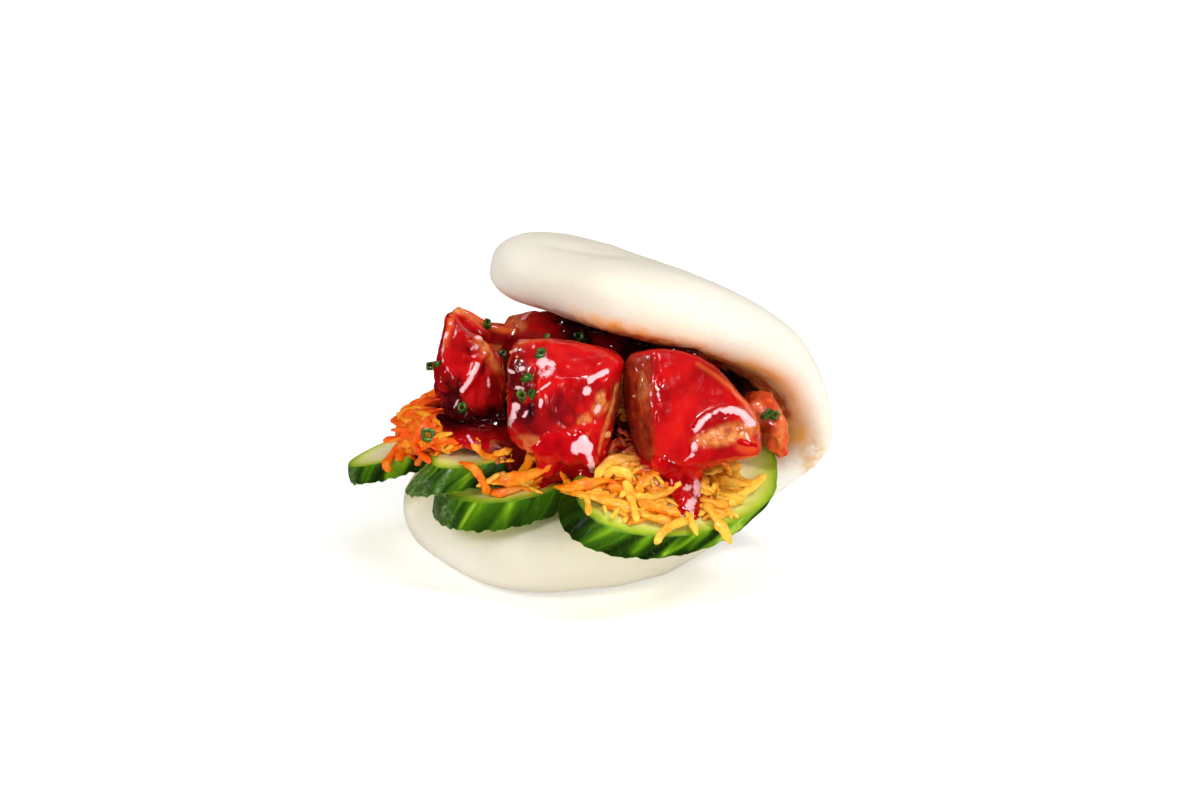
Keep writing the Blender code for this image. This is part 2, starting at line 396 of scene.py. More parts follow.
def chicken_material():
    s = Shader("glazed_chicken", IOR=1.45, Subsurface_Weight=0.12, Subsurface_Radius=(1.0, 0.15, 0.08),
               Subsurface_Scale=0.0015, Specular_IOR_Level=0.12, Coat_Roughness=0.05, Coat_IOR=1.45)
    colour = s.ramp(s.noise(0.0075, 4, 0.6), (0.28, 140, 3, 9), (0.5, 190, 7, 14), (0.72, 208, 22, 16))
    meat = s.ramp(s.noise(0.0016, 4, 0.65), (0.3, 160, 62, 22), (0.5, 214, 124, 58), (0.75, 236, 176, 104))
    brown = s.ramp(s.noise(0.003, 4, 0.6), (0.3, 98, 18, 10), (0.6, 150, 42, 20), (0.8, 204, 96, 40))
    char = s.ramp(s.noise(0.0024, 4, 0.7), (0.3, 22, 3, 4), (0.55, 66, 5, 11), (0.8, 112, 24, 26))
    # The near-black colour is dark glaze and painted shade in hollows, gaps and under the leaf
    for name, over in (("rim", (226, 92, 38)), ("deep", (46, 2, 4)), ("side", brown), ("char", char),
                       ("meat", meat)):
        colour = s.mix(s.mask(name), colour, over)
    # Painted highlight: pinkish white patches where light glints on the glaze
    colour = s.mix(s.patchy("pale"), colour, (246, 200, 205))
    s.plug(Coat_Weight=s.remap(s.mask("dry"), 0, 1, 0.45, 0.06),
           Roughness=s.remap(s.mask("meat"), 0, 1, 0.22, 0.5))
    fine = s.math("MULTIPLY", s.noise(0.0006, 3), s.remap(s.mask("rough"), 0, 1, 0.15, 1.0))
    return s.finish(colour, s.math("ADD", fine, s.math("MULTIPLY", s.noise(0.0028, 2), 0.7)), 0.00022)


def sauce_material():
    s = Shader("red_glaze", IOR=1.45, Roughness=0.12, Subsurface_Weight=0.25,
               Subsurface_Radius=(1.0, 0.12, 0.06), Subsurface_Scale=0.002, Specular_IOR_Level=0.12,
               Coat_Weight=0.4, Coat_Roughness=0.04)
    colour = s.ramp(s.noise(0.005, 3), (0.3, 146, 3, 10), (0.55, 192, 7, 15), (0.75, 212, 22, 20))
    # The near-black is dark glaze and painted shade; the pinkish white is a painted highlight
    colour = s.mix(s.patchy("pale"), s.mix(s.mask("deep"), colour, (40, 1, 3)), (248, 204, 212))
    return s.finish(colour, s.noise(0.0026, 2), 0.0001)


def carrot_material(name, low, middle, high, soaked):
    s = Shader(name, IOR=1.4, Subsurface_Weight=0.15, Subsurface_Radius=(1.0, 0.4, 0.1),
               Subsurface_Scale=0.0015, Specular_IOR_Level=0.25, Coat_Weight=0.15, Coat_Roughness=0.2)
    tone = s.math("ADD", s.math("MULTIPLY", s.noise(0.002, 4, 0.65), 0.6),
                  s.math("MULTIPLY", s.mask("tone"), 0.42))
    colour = s.mix(s.mask("soaked"), s.ramp(tone, (0.32, *low), (0.5, *middle), (0.72, *high)), soaked)
    s.plug(Roughness=s.remap(s.noise(0.001, 3), 0.3, 0.7, 0.35, 0.6))
    return s.finish(colour, s.noise(0.0005, 3, 0.6), 0.00025)


def cucumber_material():
    s = Shader("cucumber", IOR=1.4, Subsurface_Weight=0.15, Subsurface_Radius=(0.6, 1.0, 0.2),
               Subsurface_Scale=0.0015, Specular_IOR_Level=0.06, Coat_Weight=0.05, Coat_Roughness=0.15)
    flesh = s.ramp(s.mask("radial"), (0.0, 244, 234, 186), (0.45, 240, 232, 178), (0.62, 244, 238, 192),
                   (0.82, 220, 224, 120), (0.93, 168, 194, 44), (1.0, 96, 146, 12))
    flesh = s.mix(s.remap(s.noise(0.0016, 4, 0.6), 0.45, 0.8, 0, 0.35), flesh, (206, 206, 110))
    # Dark peel also stands for painted shade at the slices' left ends
    peel = s.ramp(s.mask("streak"), (0.0, 14, 30, 1), (0.35, 30, 60, 1), (0.6, 60, 102, 2),
                  (0.82, 106, 150, 10), (1.0, 158, 190, 60))
    peel = s.mix(s.remap(s.noise(0.0007, 3, 0.7), 0.58, 0.8, 0, 0.4), peel, (112, 146, 60))
    # Painted sheen: pale glints on the peel seen at a grazing angle
    frost = s.ramp(s.noise(0.0011, 4, 0.75), (0.38, 58, 92, 30), (0.55, 104, 132, 76), (0.7, 186, 200, 160))
    colour = s.mix(s.mask("peel"), flesh, s.mix(s.mask("frost"), peel, frost))
    s.plug(Roughness=s.remap(s.mask("peel"), 0, 1, 0.3, 0.45))
    height = s.math("ADD", s.noise(0.0006, 3, 0.65), s.math("MULTIPLY", s.noise(0.003, 2), 0.8))
    return s.finish(colour, height, 0.0002)


def speck_material(name, stops, detail, depth, **values):
    s = Shader(name, IOR=1.4, **values)
    return s.finish(s.ramp(s.noise(0.0012, 3), *stops), s.noise(0.0005, detail), depth)


# --- the bun ---
# The lower edge of the upper leaf and the mouth under it, as the picture shows them (px)
LIP = ((500, 292), (520, 302), (545, 308), (570, 317), (600, 330), (625, 335), (650, 343), (675, 350),
       (700, 357), (725, 366), (745, 377), (765, 389), (785, 402), (800, 425))
LIP_STAIN = ((744, 374), (766, 387), (780, 400), (786, 414))
# Stretches across the picture: where each fades in and where it fades out
CREASE_U, LEFT_STAIN_U, MOUTH_U = ((532, 560), (640, 600)), ((500, 540), (640, 600)), ((560, 600), (800, 770))
# Where painted shade darkens the mouth, the upper leaf and the lower leaf
DARK_MOUTH_U, CREAM_U, LOWER_U = ((560, 590), (786, 762)), ((488, 560), (740, 640)), ((440, 500), (790, 720))
MAIN_STAIN_U = (590, 650)
# Where the dough is torn, and where the crease of the upper leaf starts
TORN, CREASE = (812, 460), (560, 246)
BESIDE_FOLD = ((750, 372), (768, 383), (782, 397), (790, 413), (795, 434))
BUN_NUDGES = (
    (398, 505, 406, 505), (401, 525, 409, 524), (412, 543, 415, 544), (404, 488, 408, 490),
    (503, 236, 508, 244), (520, 229, 522, 238), (545, 227, 545, 235), (575, 232, 576, 237),
    (493, 256, 494, 259), (494, 276, 488, 280), (503, 289, 499, 293), (625, 248, 625, 249),
    (824, 380, 820, 383), (831, 402, 825, 402), (830, 425, 827, 425), (650, 582, 650, 586),
    (819, 447, 825, 452), (806, 464, 812, 468), (792, 479, 795, 481),
)


def make_bun(filling_tree):
    bun, mesh, co, _ = remeshed_node("bun", "bao_dough", (0.8) * MM, 10, 2)
    no = put_coordinates(mesh, co)
    swell = 0.35 * lumps(co, 19 * MM, 3) + 0.16 * lumps(co, 8 * MM, 4) + 0.05 * lumps(co, 3.2 * MM, 5)
    co = nudged(co + no * (swell * MM)[:, None], BUN_NUDGES, 20.0, 0.35)
    u, v = to_px(co)
    near = (no @ BACK) > 0.0
    torn = near * np.exp(-(((u - TORN[0]) / 17) ** 2 + ((v - TORN[1]) / 22) ** 2) ** 1.5)
    height = torn * (lumps(co, 1.7 * MM, 6) * 0.45 + lumps(co, 3.5 * MM, 7) * 0.4 - 0.3)
    crease = near * stretch(u, *CREASE_U)
    height -= 0.7 * crease * np.exp(-((v - (CREASE[1] + 0.16 * (u - CREASE[0]))) / 3.2) ** 2)
    co = co + no * (height * MM)[:, None]
    co[:, 2] = np.maximum(co[:, 2], 0)
    put_coordinates(mesh, co)
    z = co[:, 2] / MM
    away = distance_to(filling_tree, co, 22 * MM) / MM
    inner = smoothstep(20, 30, z)
    wobble = 0.7 + 0.5 * lumps(co, 5 * MM, 8) + 0.25 * lumps(co, 2 * MM, 9)
    below = v - np.interp(u, *np.array(LIP).T) + 3.5 * lumps(co, 3.5 * MM, 10) + 2 * lumps(co, 1.6 * MM, 11)
    facing = smoothstep(-0.35, 0.0, no @ BACK) * smoothstep(21, 15, away) * inner
    mouth = stretch(u, *MOUTH_U)
    stain = smoothstep(-10, -1, below) * smoothstep(*MAIN_STAIN_U, u) * mouth * 1.2
    stain += 0.45 * smoothstep(-5, 0, below) * stretch(u, *LEFT_STAIN_U)
    stain += painted(u, v, (0.85, LIP_STAIN, 6)) * wobble
    # Painted shade: the mouth under the upper leaf turns near black
    dark = stretch(below, (-1, 4), (62, 34)) * stretch(u, *DARK_MOUTH_U)
    tint = painted(u, v, (0.95, BESIDE_FOLD, 10), (0.5, BESIDE_FOLD, 19))
    tint += 0.85 * mouth * smoothstep(-19, -3, below)
    add_masks(mesh, torn=torn, stain=facing * stain + smoothstep(3.6, 0.8, away) * wobble * inner * 0.8,
              dark=facing * dark + smoothstep(1.8, 0.4, away) * (wobble - 0.25) * inner * 0.5,
              tint=facing * tint + smoothstep(9, 2, away) * 0.3 * inner,
              # Painted shade on the upper leaf's middle and left and on the lower leaf
              cream=0.45 * stretch(u, *CREAM_U) * smoothstep(26, 34, z),
              lower=0.75 * stretch(u, *LOWER_U) * smoothstep(26, 12, z))
    return finish_piece(bun, dough_material(), "bun", "bun")


# --- the chicken ---
# What the camera saw of each piece, and where the picture has it: u0, v0, u1, v1
NUDGES = {
    "chicken_left": ((465, 298, 457, 306), (450, 340, 446, 342), (447, 372, 443, 372), (445, 398, 440, 396),
                     (478, 302, 474, 318), (497, 340, 499, 342), (498, 375, 499, 372), (496, 398, 489, 399),
                     (484, 408, 478, 412), (466, 412, 464, 418)),
    "chicken_centre": ((515, 345, 513, 345), (545, 337, 545, 338), (600, 345, 602, 349), (619, 358, 624, 360),
                       (618, 385, 621, 385), (607, 430, 606, 438), (570, 462, 570, 462), (505, 375, 504, 375),
                       (503, 400, 509, 400), (504, 425, 512, 426)),
    "chicken_right": ((640, 358, 634, 351), (672, 351, 676, 352), (735, 372, 732, 384), (755, 415, 760, 418),
                      (750, 450, 757, 449), (626, 380, 625, 372), (628, 430, 631, 432), (660, 463, 664, 468)),
    "chicken_fold": ((762, 390, 758, 388), (774, 390, 771, 395), (783, 400, 779, 405), (786, 420, 785, 422),
                     (788, 445, 786, 446), (779, 458, 780, 464), (764, 461, 773, 442), (757, 450, 766, 432),
                     (750, 430, 753, 420)),
    "chicken_rear": ((505, 318, 509, 327), (517, 311, 522, 313), (545, 308, 545, 309)),
}
# Flat cuts: the way each one faces (across the view, away, up) and its depth (mm)
CUTS = {
    "chicken_left": (((0.75, -0.1, 0.62), 4.2), ((-0.75, -0.6, 0), 1.2), ((0.35, -0.95, 0.1), 1.2)),
    "chicken_centre": (((0, -0.55, 0.8), 3.4), ((-0.8, -0.55, 0), 2.2), ((0.1, -1, 0), 1.2),
                       ((0.85, -0.55, 0), 1.8)),
    "chicken_right": (((0.12, -0.8, 0.62), 3.6), ((-0.86, -0.5, 0), 2.6), ((0.75, -0.4, 0.5), 1.0)),
    "chicken_rear": (((-0.35, -0.7, 0.6), 2.4), ((-0.9, 0, 0), 1.2)),
    "chicken_fold": (((0, -0.8, 0.45), 1.6),),
    "chicken_far": (((-1, 0, 0), 3.0), ((0, 0, 1), 3.0), ((0, 1, 0), 1.5)),
    "chicken_shade": (((0, 0.4, 1), 1.5), ((-1, 0, 0), 1.2)),
}
LIP_ARC = ((696, 430), (701, 422), (709, 416), (719, 412), (730, 410), (741, 414), (752, 424))
# Marks of the picture, as painted takes them. Painted highlights, pinkish white where light glints on the
# glaze:
PALE = {
    "chicken_right": ((0.65, LIP_ARC, 4.2), (0.45, ((656, 384), (658, 394), (661, 404)), 2),
                      (0.35, ((650, 384), (652, 404)), 3), (0.4, ((693, 455), (683, 461)), 2),
                      (0.25, (728, 431), (24, 6), 12, 0.4), (0.3, ((757, 416), (761, 440)), 2),
                      (0.4, (694, 446), (5, 7), 0, 0.9)),
    "chicken_centre": ((0.75, (545, 367), (9, 12), 10, 0.9), (0.7, ((590, 380), (606, 371)), 4),
                       (0.7, ((516, 406), (512, 424)), 4), (0.6, ((532, 400), (522, 417)), 2.2),
                       (0.6, ((541, 400), (540, 412)), 2.2), (0.5, ((550, 383), (530, 397)), 1.2),
                       (0.55, ((513, 372), (506, 366)), 1.8), (0.6, (521, 368), (4, 3), 0, 0.9),
                       (0.5, (587, 391), (5, 5), 0, 0.9), (0.26, (602, 402), (6, 13), -20),
                       (0.24, (590, 418), (5, 14), -35), (0.6, (519, 389), (6, 3), 0, 0.9),
                       (0.5, (514, 352), (5, 3), 30, 0.9)),
    "chicken_left": ((0.65, ((477, 364), (471, 376), (462, 390)), 2.8), (0.55, ((487, 366), (488, 388)), 2.2),
                     (0.6, (475, 345), (5, 7), 0, 0.9), (0.6, ((458, 324), (454, 338)), 2),
                     (0.48, ((451, 324), (446, 340), (444, 360)), 3), (0.45, ((459, 398), (453, 408)), 2.4),
                     (0.4, ((449, 366), (452, 380)), 2)),
    "chicken_rear": ((0.5, ((517, 327), (526, 318), (532, 313)), 1.6),),
}
# Where it shows no gloss:
DRY = {
    "chicken_centre": ((1, (566, 379), (19, 6)), (1, (558, 354), (36, 12))),
    "chicken_right": ((1, (690, 370), (42, 20)), (1, (650, 357), (18, 8)), (1, (690, 405), (30, 10))),
}
# Ridges and, below zero, hollows (mm):
RIDGES = {
    "chicken_right": ((0.9, LIP_ARC, 3.6), (-0.9, (722, 429), (25, 6), 8, 0.5), (0.5, (698, 448), (8, 7)),
                      (0.5, ((643, 365), (641, 390), (646, 425)), 4),
                      (-0.35, ((655, 356), (652, 390), (656, 430), (664, 456)), 2.5)),
    "chicken_centre": ((0.5, (546, 368), (9, 12)), (0.6, ((508, 372), (517, 350), (535, 342)), 4),
                       (-0.8, ((534, 372), (532, 392), (526, 408), (527, 430)), 4),
                       (0.7, ((513, 400), (513, 415), (516, 430)), 4), (0.6, (542, 405), (5, 12)),
                       (0.5, ((560, 388), (552, 405), (556, 425), (575, 433)), 3),
                       (-0.2, ((560, 392), (585, 389), (604, 386)), 3.5), (0.6, (588, 445), (9, 16)),
                       (-0.5, ((600, 392), (596, 420)), 3)),
    "chicken_left": ((-0.45, ((460, 322), (458, 345), (456, 368), (461, 384)), 5),
                     (0.7, ((450, 322), (447, 345), (449, 366), (444, 384)), 4),
                     (1.0, ((481, 358), (474, 374), (463, 390)), 4),
                     (0.7, ((476, 340), (487, 354), (497, 370)), 4),
                     (0.5, (474, 345), (5, 7)), (-0.5, ((470, 350), (468, 364), (459, 380)), 4),
                     (-0.3, ((484, 364), (480, 382), (478, 402)), 4), (0.5, ((489, 362), (489, 392)), 3.5),
                     (-0.7, (452, 398), (8, 12))),
    "chicken_rear": ((0.6, ((507, 330), (518, 318), (534, 312)), 4), (-0.5, (530, 330), (12, 5))),
}
# Patches of meat, char, light rims and painted shade: which mask, the mark, and between which values of noise
# it breaks up
BLOTCHES = {
    "chicken_right": (("meat", (0.95, (727, 434), (31, 10), 14), (-1.5, -0.3)),
                      ("meat", (0.25, (644, 400), (5, 40)), (0, 0.5)),
                      ("rim", (0.9, ((698, 364), (718, 377), (738, 396), (752, 414), (760, 432)), 2.2), None),
                      ("rim", (0.5, (748, 446), (12, 8)), None)),
    "chicken_centre": (("meat", (0.8, (601, 404), (8, 13), -20), (-0.3, 0.3)),
                       ("meat", (0.7, (585, 424), (7, 11)), (-0.2, 0.3)),
                       ("meat", (0.55, (530, 444), (17, 8), -10), (-0.4, 0.2)),
                       ("meat", (0.75, ((618, 385), (611, 412), (603, 440), (598, 456)), 1.6), None),
                       ("char", (0.55, (566, 408), (17, 20)), (-0.7, 0.1)),
                       ("char", (0.4, (540, 420), (14, 20)), None),
                       ("rim", (0.5, ((512, 350), (530, 341), (548, 337)), 3), None)),
    "chicken_left": (("char", (0.95, (451, 397), (13, 19)), (-0.7, 0)),
                     ("meat", (0.7, (457, 308), (8, 5)), None),
                     ("meat", (0.75, ((476, 340), (487, 354), (497, 370)), 4), None),
                     ("meat", (0.4, ((466, 314), (476, 328), (484, 344)), 3), (-0.4, 0.3)),
                     ("rim", (0.7, ((453, 316), (449, 332), (447, 345)), 2.5), None),
                     ("deep", (0.4, (492, 392), (8, 20)), None)),
    "chicken_rear": (("rim", (0.9, ((504, 328), (512, 317), (524, 310), (534, 309)), 5), None),
                     ("meat", (0.5, (516, 320), (9, 12), 40), (-0.6, 0))),
    "chicken_fold": (("deep", (0.55, (766, 430), (7, 16), 0, 0.6), None),
                     ("deep", (0.3, (757, 394), (10, 8), 0, 0.6), None)),
}
# Single places of the same pieces (px): burnt edge, pale edge, places of painted shade, rings and ridges
BURNT_EDGE, FOLD_MEAT = (0.85, (519, 390), (15, 40), 8), (0.35, (780, 436), (4, 16), 0, 0.6)
RIGHT_SIDE_U, RIGHT_SIDE_V, RIGHT_DEEP_U, RIGHT_DEEP_V = (656, 650), (350, 360), (665, 700), (400, 365)
CENTRE_SIDE_U, CENTRE_SIDE_V, LEFT_DEEP_V = (606, 616), (372, 392), (398, 414)
REAR_DEEP_U, REAR_DEEP_V, RINGS_AT = (548, 585), (326, 340), (570, 406)
RIGHT_RIDGE = (0.4, ((660, 372), (657, 395), (661, 425)), 3)


def pared(co, way, cut):
    """Pares a lump flat on one side, cut mm below its furthest point, with a rounded edge."""
    edge = 0.7  # mm
    n = unit(view_way(*way))
    h = co @ n / MM
    over = h - (h.max() - cut)
    kept = over - edge * np.log1p(np.exp(np.clip(over / edge, -40, 40)))
    return co + n * ((np.where(over > 6 * edge, 0.0, kept) - over) * MM)[:, None]


def chicken_marks(name, co, no, u, v):
    """Masks of what each piece shows: bare meat, seared side, char, dark glaze and painted shade, and light
    rims.
    """
    n1, n2 = lumps(co, 2.2 * MM, 31), lumps(co, 5 * MM, 32)
    n3 = lumps(co + 2.5 * MM * n1[:, None], 4.5 * MM, 33)
    masks = {mask: np.zeros(len(co)) for mask in ("meat", "side", "char", "deep", "rim")}
    for mask, mark, limits in BLOTCHES.get(name, ()):
        masks[mask] += painted(u, v, mark) * (smoothstep(*limits, n1) if limits else 1)
    # Painted shade: the right piece's top and the rear piece under the leaf, the left piece's lower part, and
    # all of the piece in the shade
    if name == "chicken_right":
        masks["side"] = smoothstep(*RIGHT_SIDE_U, u + 2 * n1) * smoothstep(*RIGHT_SIDE_V, v)
        masks["deep"] = 0.15 * smoothstep(-0.1, 0.6, n2)
        masks["deep"] += 0.25 * smoothstep(*RIGHT_DEEP_V, v) * smoothstep(*RIGHT_DEEP_U, u)
    elif name == "chicken_centre":
        masks["char"] += painted(u, v, BURNT_EDGE) * smoothstep(-0.3, 0.35, n2 + 0.6 * n1)
        masks["side"] = smoothstep(*CENTRE_SIDE_U, u + 2 * n1) * smoothstep(*CENTRE_SIDE_V, v)
    elif name == "chicken_left":
        masks["deep"] += 0.9 * smoothstep(*LEFT_DEEP_V, v)
    elif name == "chicken_rear":
        masks["deep"] = 0.95 * smoothstep(*REAR_DEEP_U, u) + 0.5 * smoothstep(*REAR_DEEP_V, v)
    elif name == "chicken_fold":
        shallow = 1 - masks["deep"]
        masks["meat"] = (0.25 * smoothstep(-0.1, 0.6, n2) + painted(u, v, FOLD_MEAT)) * shallow
        masks["rim"] = (0.45 + 0.5 * smoothstep(0, 0.5, n1)) * shallow
    elif name == "chicken_shade":
        masks["deep"] += 0.9
        masks["char"] = 0.6 * smoothstep(0, 0.5, n2)
    else:
        masks["meat"] = 0.5 * smoothstep(0.1, 0.6, n3)
        masks["char"] = 0.6 * smoothstep(0.15, 0.6, -n3)
    if name in PALE:
        near = smoothstep(-0.1, 0.15, no @ BACK)
        masks = {mask: values * near for mask, values in masks.items()}
        masks["meat"] += (1 - near) * 0.5 * smoothstep(0.1, 0.55, n3)
        masks["char"] += (1 - near) * 0.5 * smoothstep(0.2, 0.6, -n3)
    return [np.clip(values, 0, 1) for values in masks.values()]


def chicken_relief(name, co, no, u, v, rough):
    """How far each point stands out, in mm."""
    seed = sum(map(ord, name))
    fold = 1 - np.abs(lumps(co + 1.5 * MM * lumps(co, 6 * MM, seed + 7)[:, None], 4.2 * MM, seed + 8))
    out = 0.4 * lumps(co, 8 * MM, seed) + 0.3 * lumps(co, 3.8 * MM, seed + 1) + 0.35 * (fold ** 3 - 0.3)
    shown = painted(u, v, *RIDGES.get(name, ()))
    if name == "chicken_right":
        out *= 0.45
        shown += painted(u, v, RIGHT_RIDGE) * lumps(co, 1.6 * MM, 91)
    elif name == "chicken_centre":
        far = np.hypot(u - RINGS_AT[0] + 3 * lumps(co, 3 * MM, 92),
                       (v - RINGS_AT[1]) / 1.25 + 2 * lumps(co, 2.5 * MM, 93))
        shown += 0.2 * np.cos(np.clip(far / 17, 0, 1) * 9 + 0.8) * smoothstep(18, 13, far)
    elif name == "chicken_fold":
        out += 0.5 * lumps(co, 2.6 * MM, 96) + 0.4 * lumps(co, 1.5 * MM, 97) + 0.2 * lumps(co, 0.9 * MM, 98)
    out += ((0.04 + 0.25 * rough) * lumps(co, 1.5 * MM, seed + 2)
            + 0.12 * rough * lumps(co, 0.9 * MM, seed + 3))
    return out + shown * smoothstep(0.0, 0.3, no @ BACK)


def make_chicken(name, material):
    fine = name in ("chicken_right", "chicken_centre", "chicken_left")
    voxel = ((0.45 if fine else 0.6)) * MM
    piece, mesh, co, edges = remeshed_node(name, name.replace("chicken", "glazed"), voxel, 3, 2)
    for way, cut in CUTS[name]:
        co = pared(co, way, cut)
    co = relaxed(nudged(co, NUDGES.get(name, ()), 14.0 if name == "chicken_fold" else 26.0), edges, 3)
    no = put_coordinates(mesh, co)
    u, v = to_px(co)
    meat, side, char, deep, rim = chicken_marks(name, co, no, u, v)
    rough = np.clip(meat + char, 0, 1)
    co = co + no * (chicken_relief(name, co, no, u, v, rough) * MM)[:, None]
    no = put_coordinates(mesh, co)
    # Hollows get painted shade, and bulges a lighter rim
    bend = ((co - relaxed(co, edges, 14)) * no).sum(1) / MM * (0.5 if name == "chicken_right" else 1.0)
    # The painted highlights break up into speckles, and only on the sides that face the eye
    speckle = (0.9 + 0.5 * lumps(co, 1.6 * MM, 94)) * smoothstep(0, 0.2, no @ BACK)
    add_masks(mesh, rim=rim + smoothstep(0.14, 0.45, bend) * 0.6 * (1 - deep),
              deep=deep + smoothstep(-0.05, -0.35, bend) * 0.8, side=side, char=char, meat=meat, rough=rough,
              dry=painted(u, v, *DRY.get(name, ())), pale=painted(u, v, *PALE.get(name, ())) * speckle)
    return finish_piece(piece, material, "chicken", name)


# --- the cucumber ---
AROUND, PEEL_STEPS = 260, 24
# The rings of a slice's upper and lower cut, as parts of its size
UPPER_RINGS = (0.04, 0.14, 0.26, 0.38, 0.5, 0.6, 0.7, 0.78, 0.85, 0.91, 0.955)
LOWER_RINGS = (0.95, 0.88, 0.75, 0.55, 0.3, 0.1)
# Slices whose peel shows a painted sheen left of a place (px), with how softly it ends
FROSTED = {"cucumber_front": (446, 18), "cucumber_middle": (424, 16), "cucumber_left": (352, 10)}
# Lighter and, below zero, darker streaks of the peel, as painted takes them; the wide dark marks at the left
# ends of the right and front slices are painted shade
STREAKS = {
    "cucumber_right": ((0.45, ((634, 552), (650, 537)), 5), (0.4, ((664, 553), (682, 534)), 3),
                       (0.4, ((690, 549), (708, 532)), 4), (0.3, ((722, 542), (740, 528)), 4),
                       (-0.25, ((580, 500), (574, 535)), 14)),
    "cucumber_front": ((0.16, ((461, 526), (470, 506)), 4), (0.18, ((504, 527), (511, 505)), 3.5),
                       (0.14, ((522, 520), (528, 503)), 3), (-0.25, ((440, 500), (436, 520)), 6)),
    "cucumber_middle": ((0.25, ((470, 470), (462, 488)), 5),),
}
SLICE_NUDGES = {
    "cucumber_middle": ((412, 462, 428, 465), (407, 475, 413, 479), (409, 488, 403, 489),
                        (420, 497, 414, 493), (445, 498, 440, 491), (475, 497, 472, 489),
                        (450, 464, 450, 466), (480, 460, 480, 463), (500, 488, 500, 486)),
    "cucumber_front": ((431, 500, 440, 493), (429, 510, 431, 512), (437, 522, 438, 523),
                       (450, 501, 452, 499), (480, 503, 480, 502), (480, 531, 480, 531),
                       (530, 525, 530, 524), (555, 495, 555, 495)),
    "cucumber_right": ((764, 463, 758, 436), (772, 466, 770, 449), (777, 478, 779, 477),
                       (770, 492, 773, 495), (750, 468, 749, 462), (745, 510, 745, 510),
                       (700, 530, 700, 530)),
}


def slice_frame(node):
    """Centre, axes, half sizes, thickness and lean of a CAD slice, measured on its two flat faces."""
    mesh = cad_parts[node].data
    co = np.unique(coordinates(mesh).round(7), axis=0)
    faces = [(np.array(polygon.normal), polygon.area) for polygon in mesh.polygons]
    areas = {}
    for n, area in faces:
        key = tuple(n.round(2))
        areas[key] = areas.get(key, 0) + area
    flat = np.array(max(areas, key=areas.get))
    normal = sum(n * area * np.sign(n @ flat) for n, area in faces if abs(n @ flat) > 0.995)
    normal /= np.linalg.norm(normal) * np.sign(normal[2])
    height = co @ normal
    low, high = height.min(), height.max()
    top, bottom = co[height > high - 1e-5], co[height < low + 1e-5]
    centre_top, centre_bottom = top.mean(0), bottom.mean(0)
    major = np.linalg.svd(top - centre_top)[2][0]
    minor = np.cross(normal, major)
    half = [np.abs((top - centre_top) @ axis).max() + 0.5 * MM for axis in (major, minor)]
    lean = centre_top - centre_bottom
    lean = lean - normal * (lean @ normal)
    return (centre_top + centre_bottom) / 2, major, minor, normal, np.array(half), high - low, lean


def ring_faces(rings, around, closed=False):
    """Faces that join each ring of points to the next, and the last to the first where that closes them."""
    faces = []
    for a in range(rings if closed else rings - 1):
        for i in range(around):
            b, j = (a + 1) % rings, (i + 1) % around
            faces.append((a * around + i, b * around + i, b * around + j, a * around + j))
    return faces


def end_faces(rings, around):
    """The two faces that close a row of rings at its ends."""
    return [tuple(range(around)), tuple(reversed(range((rings - 1) * around, rings * around)))]


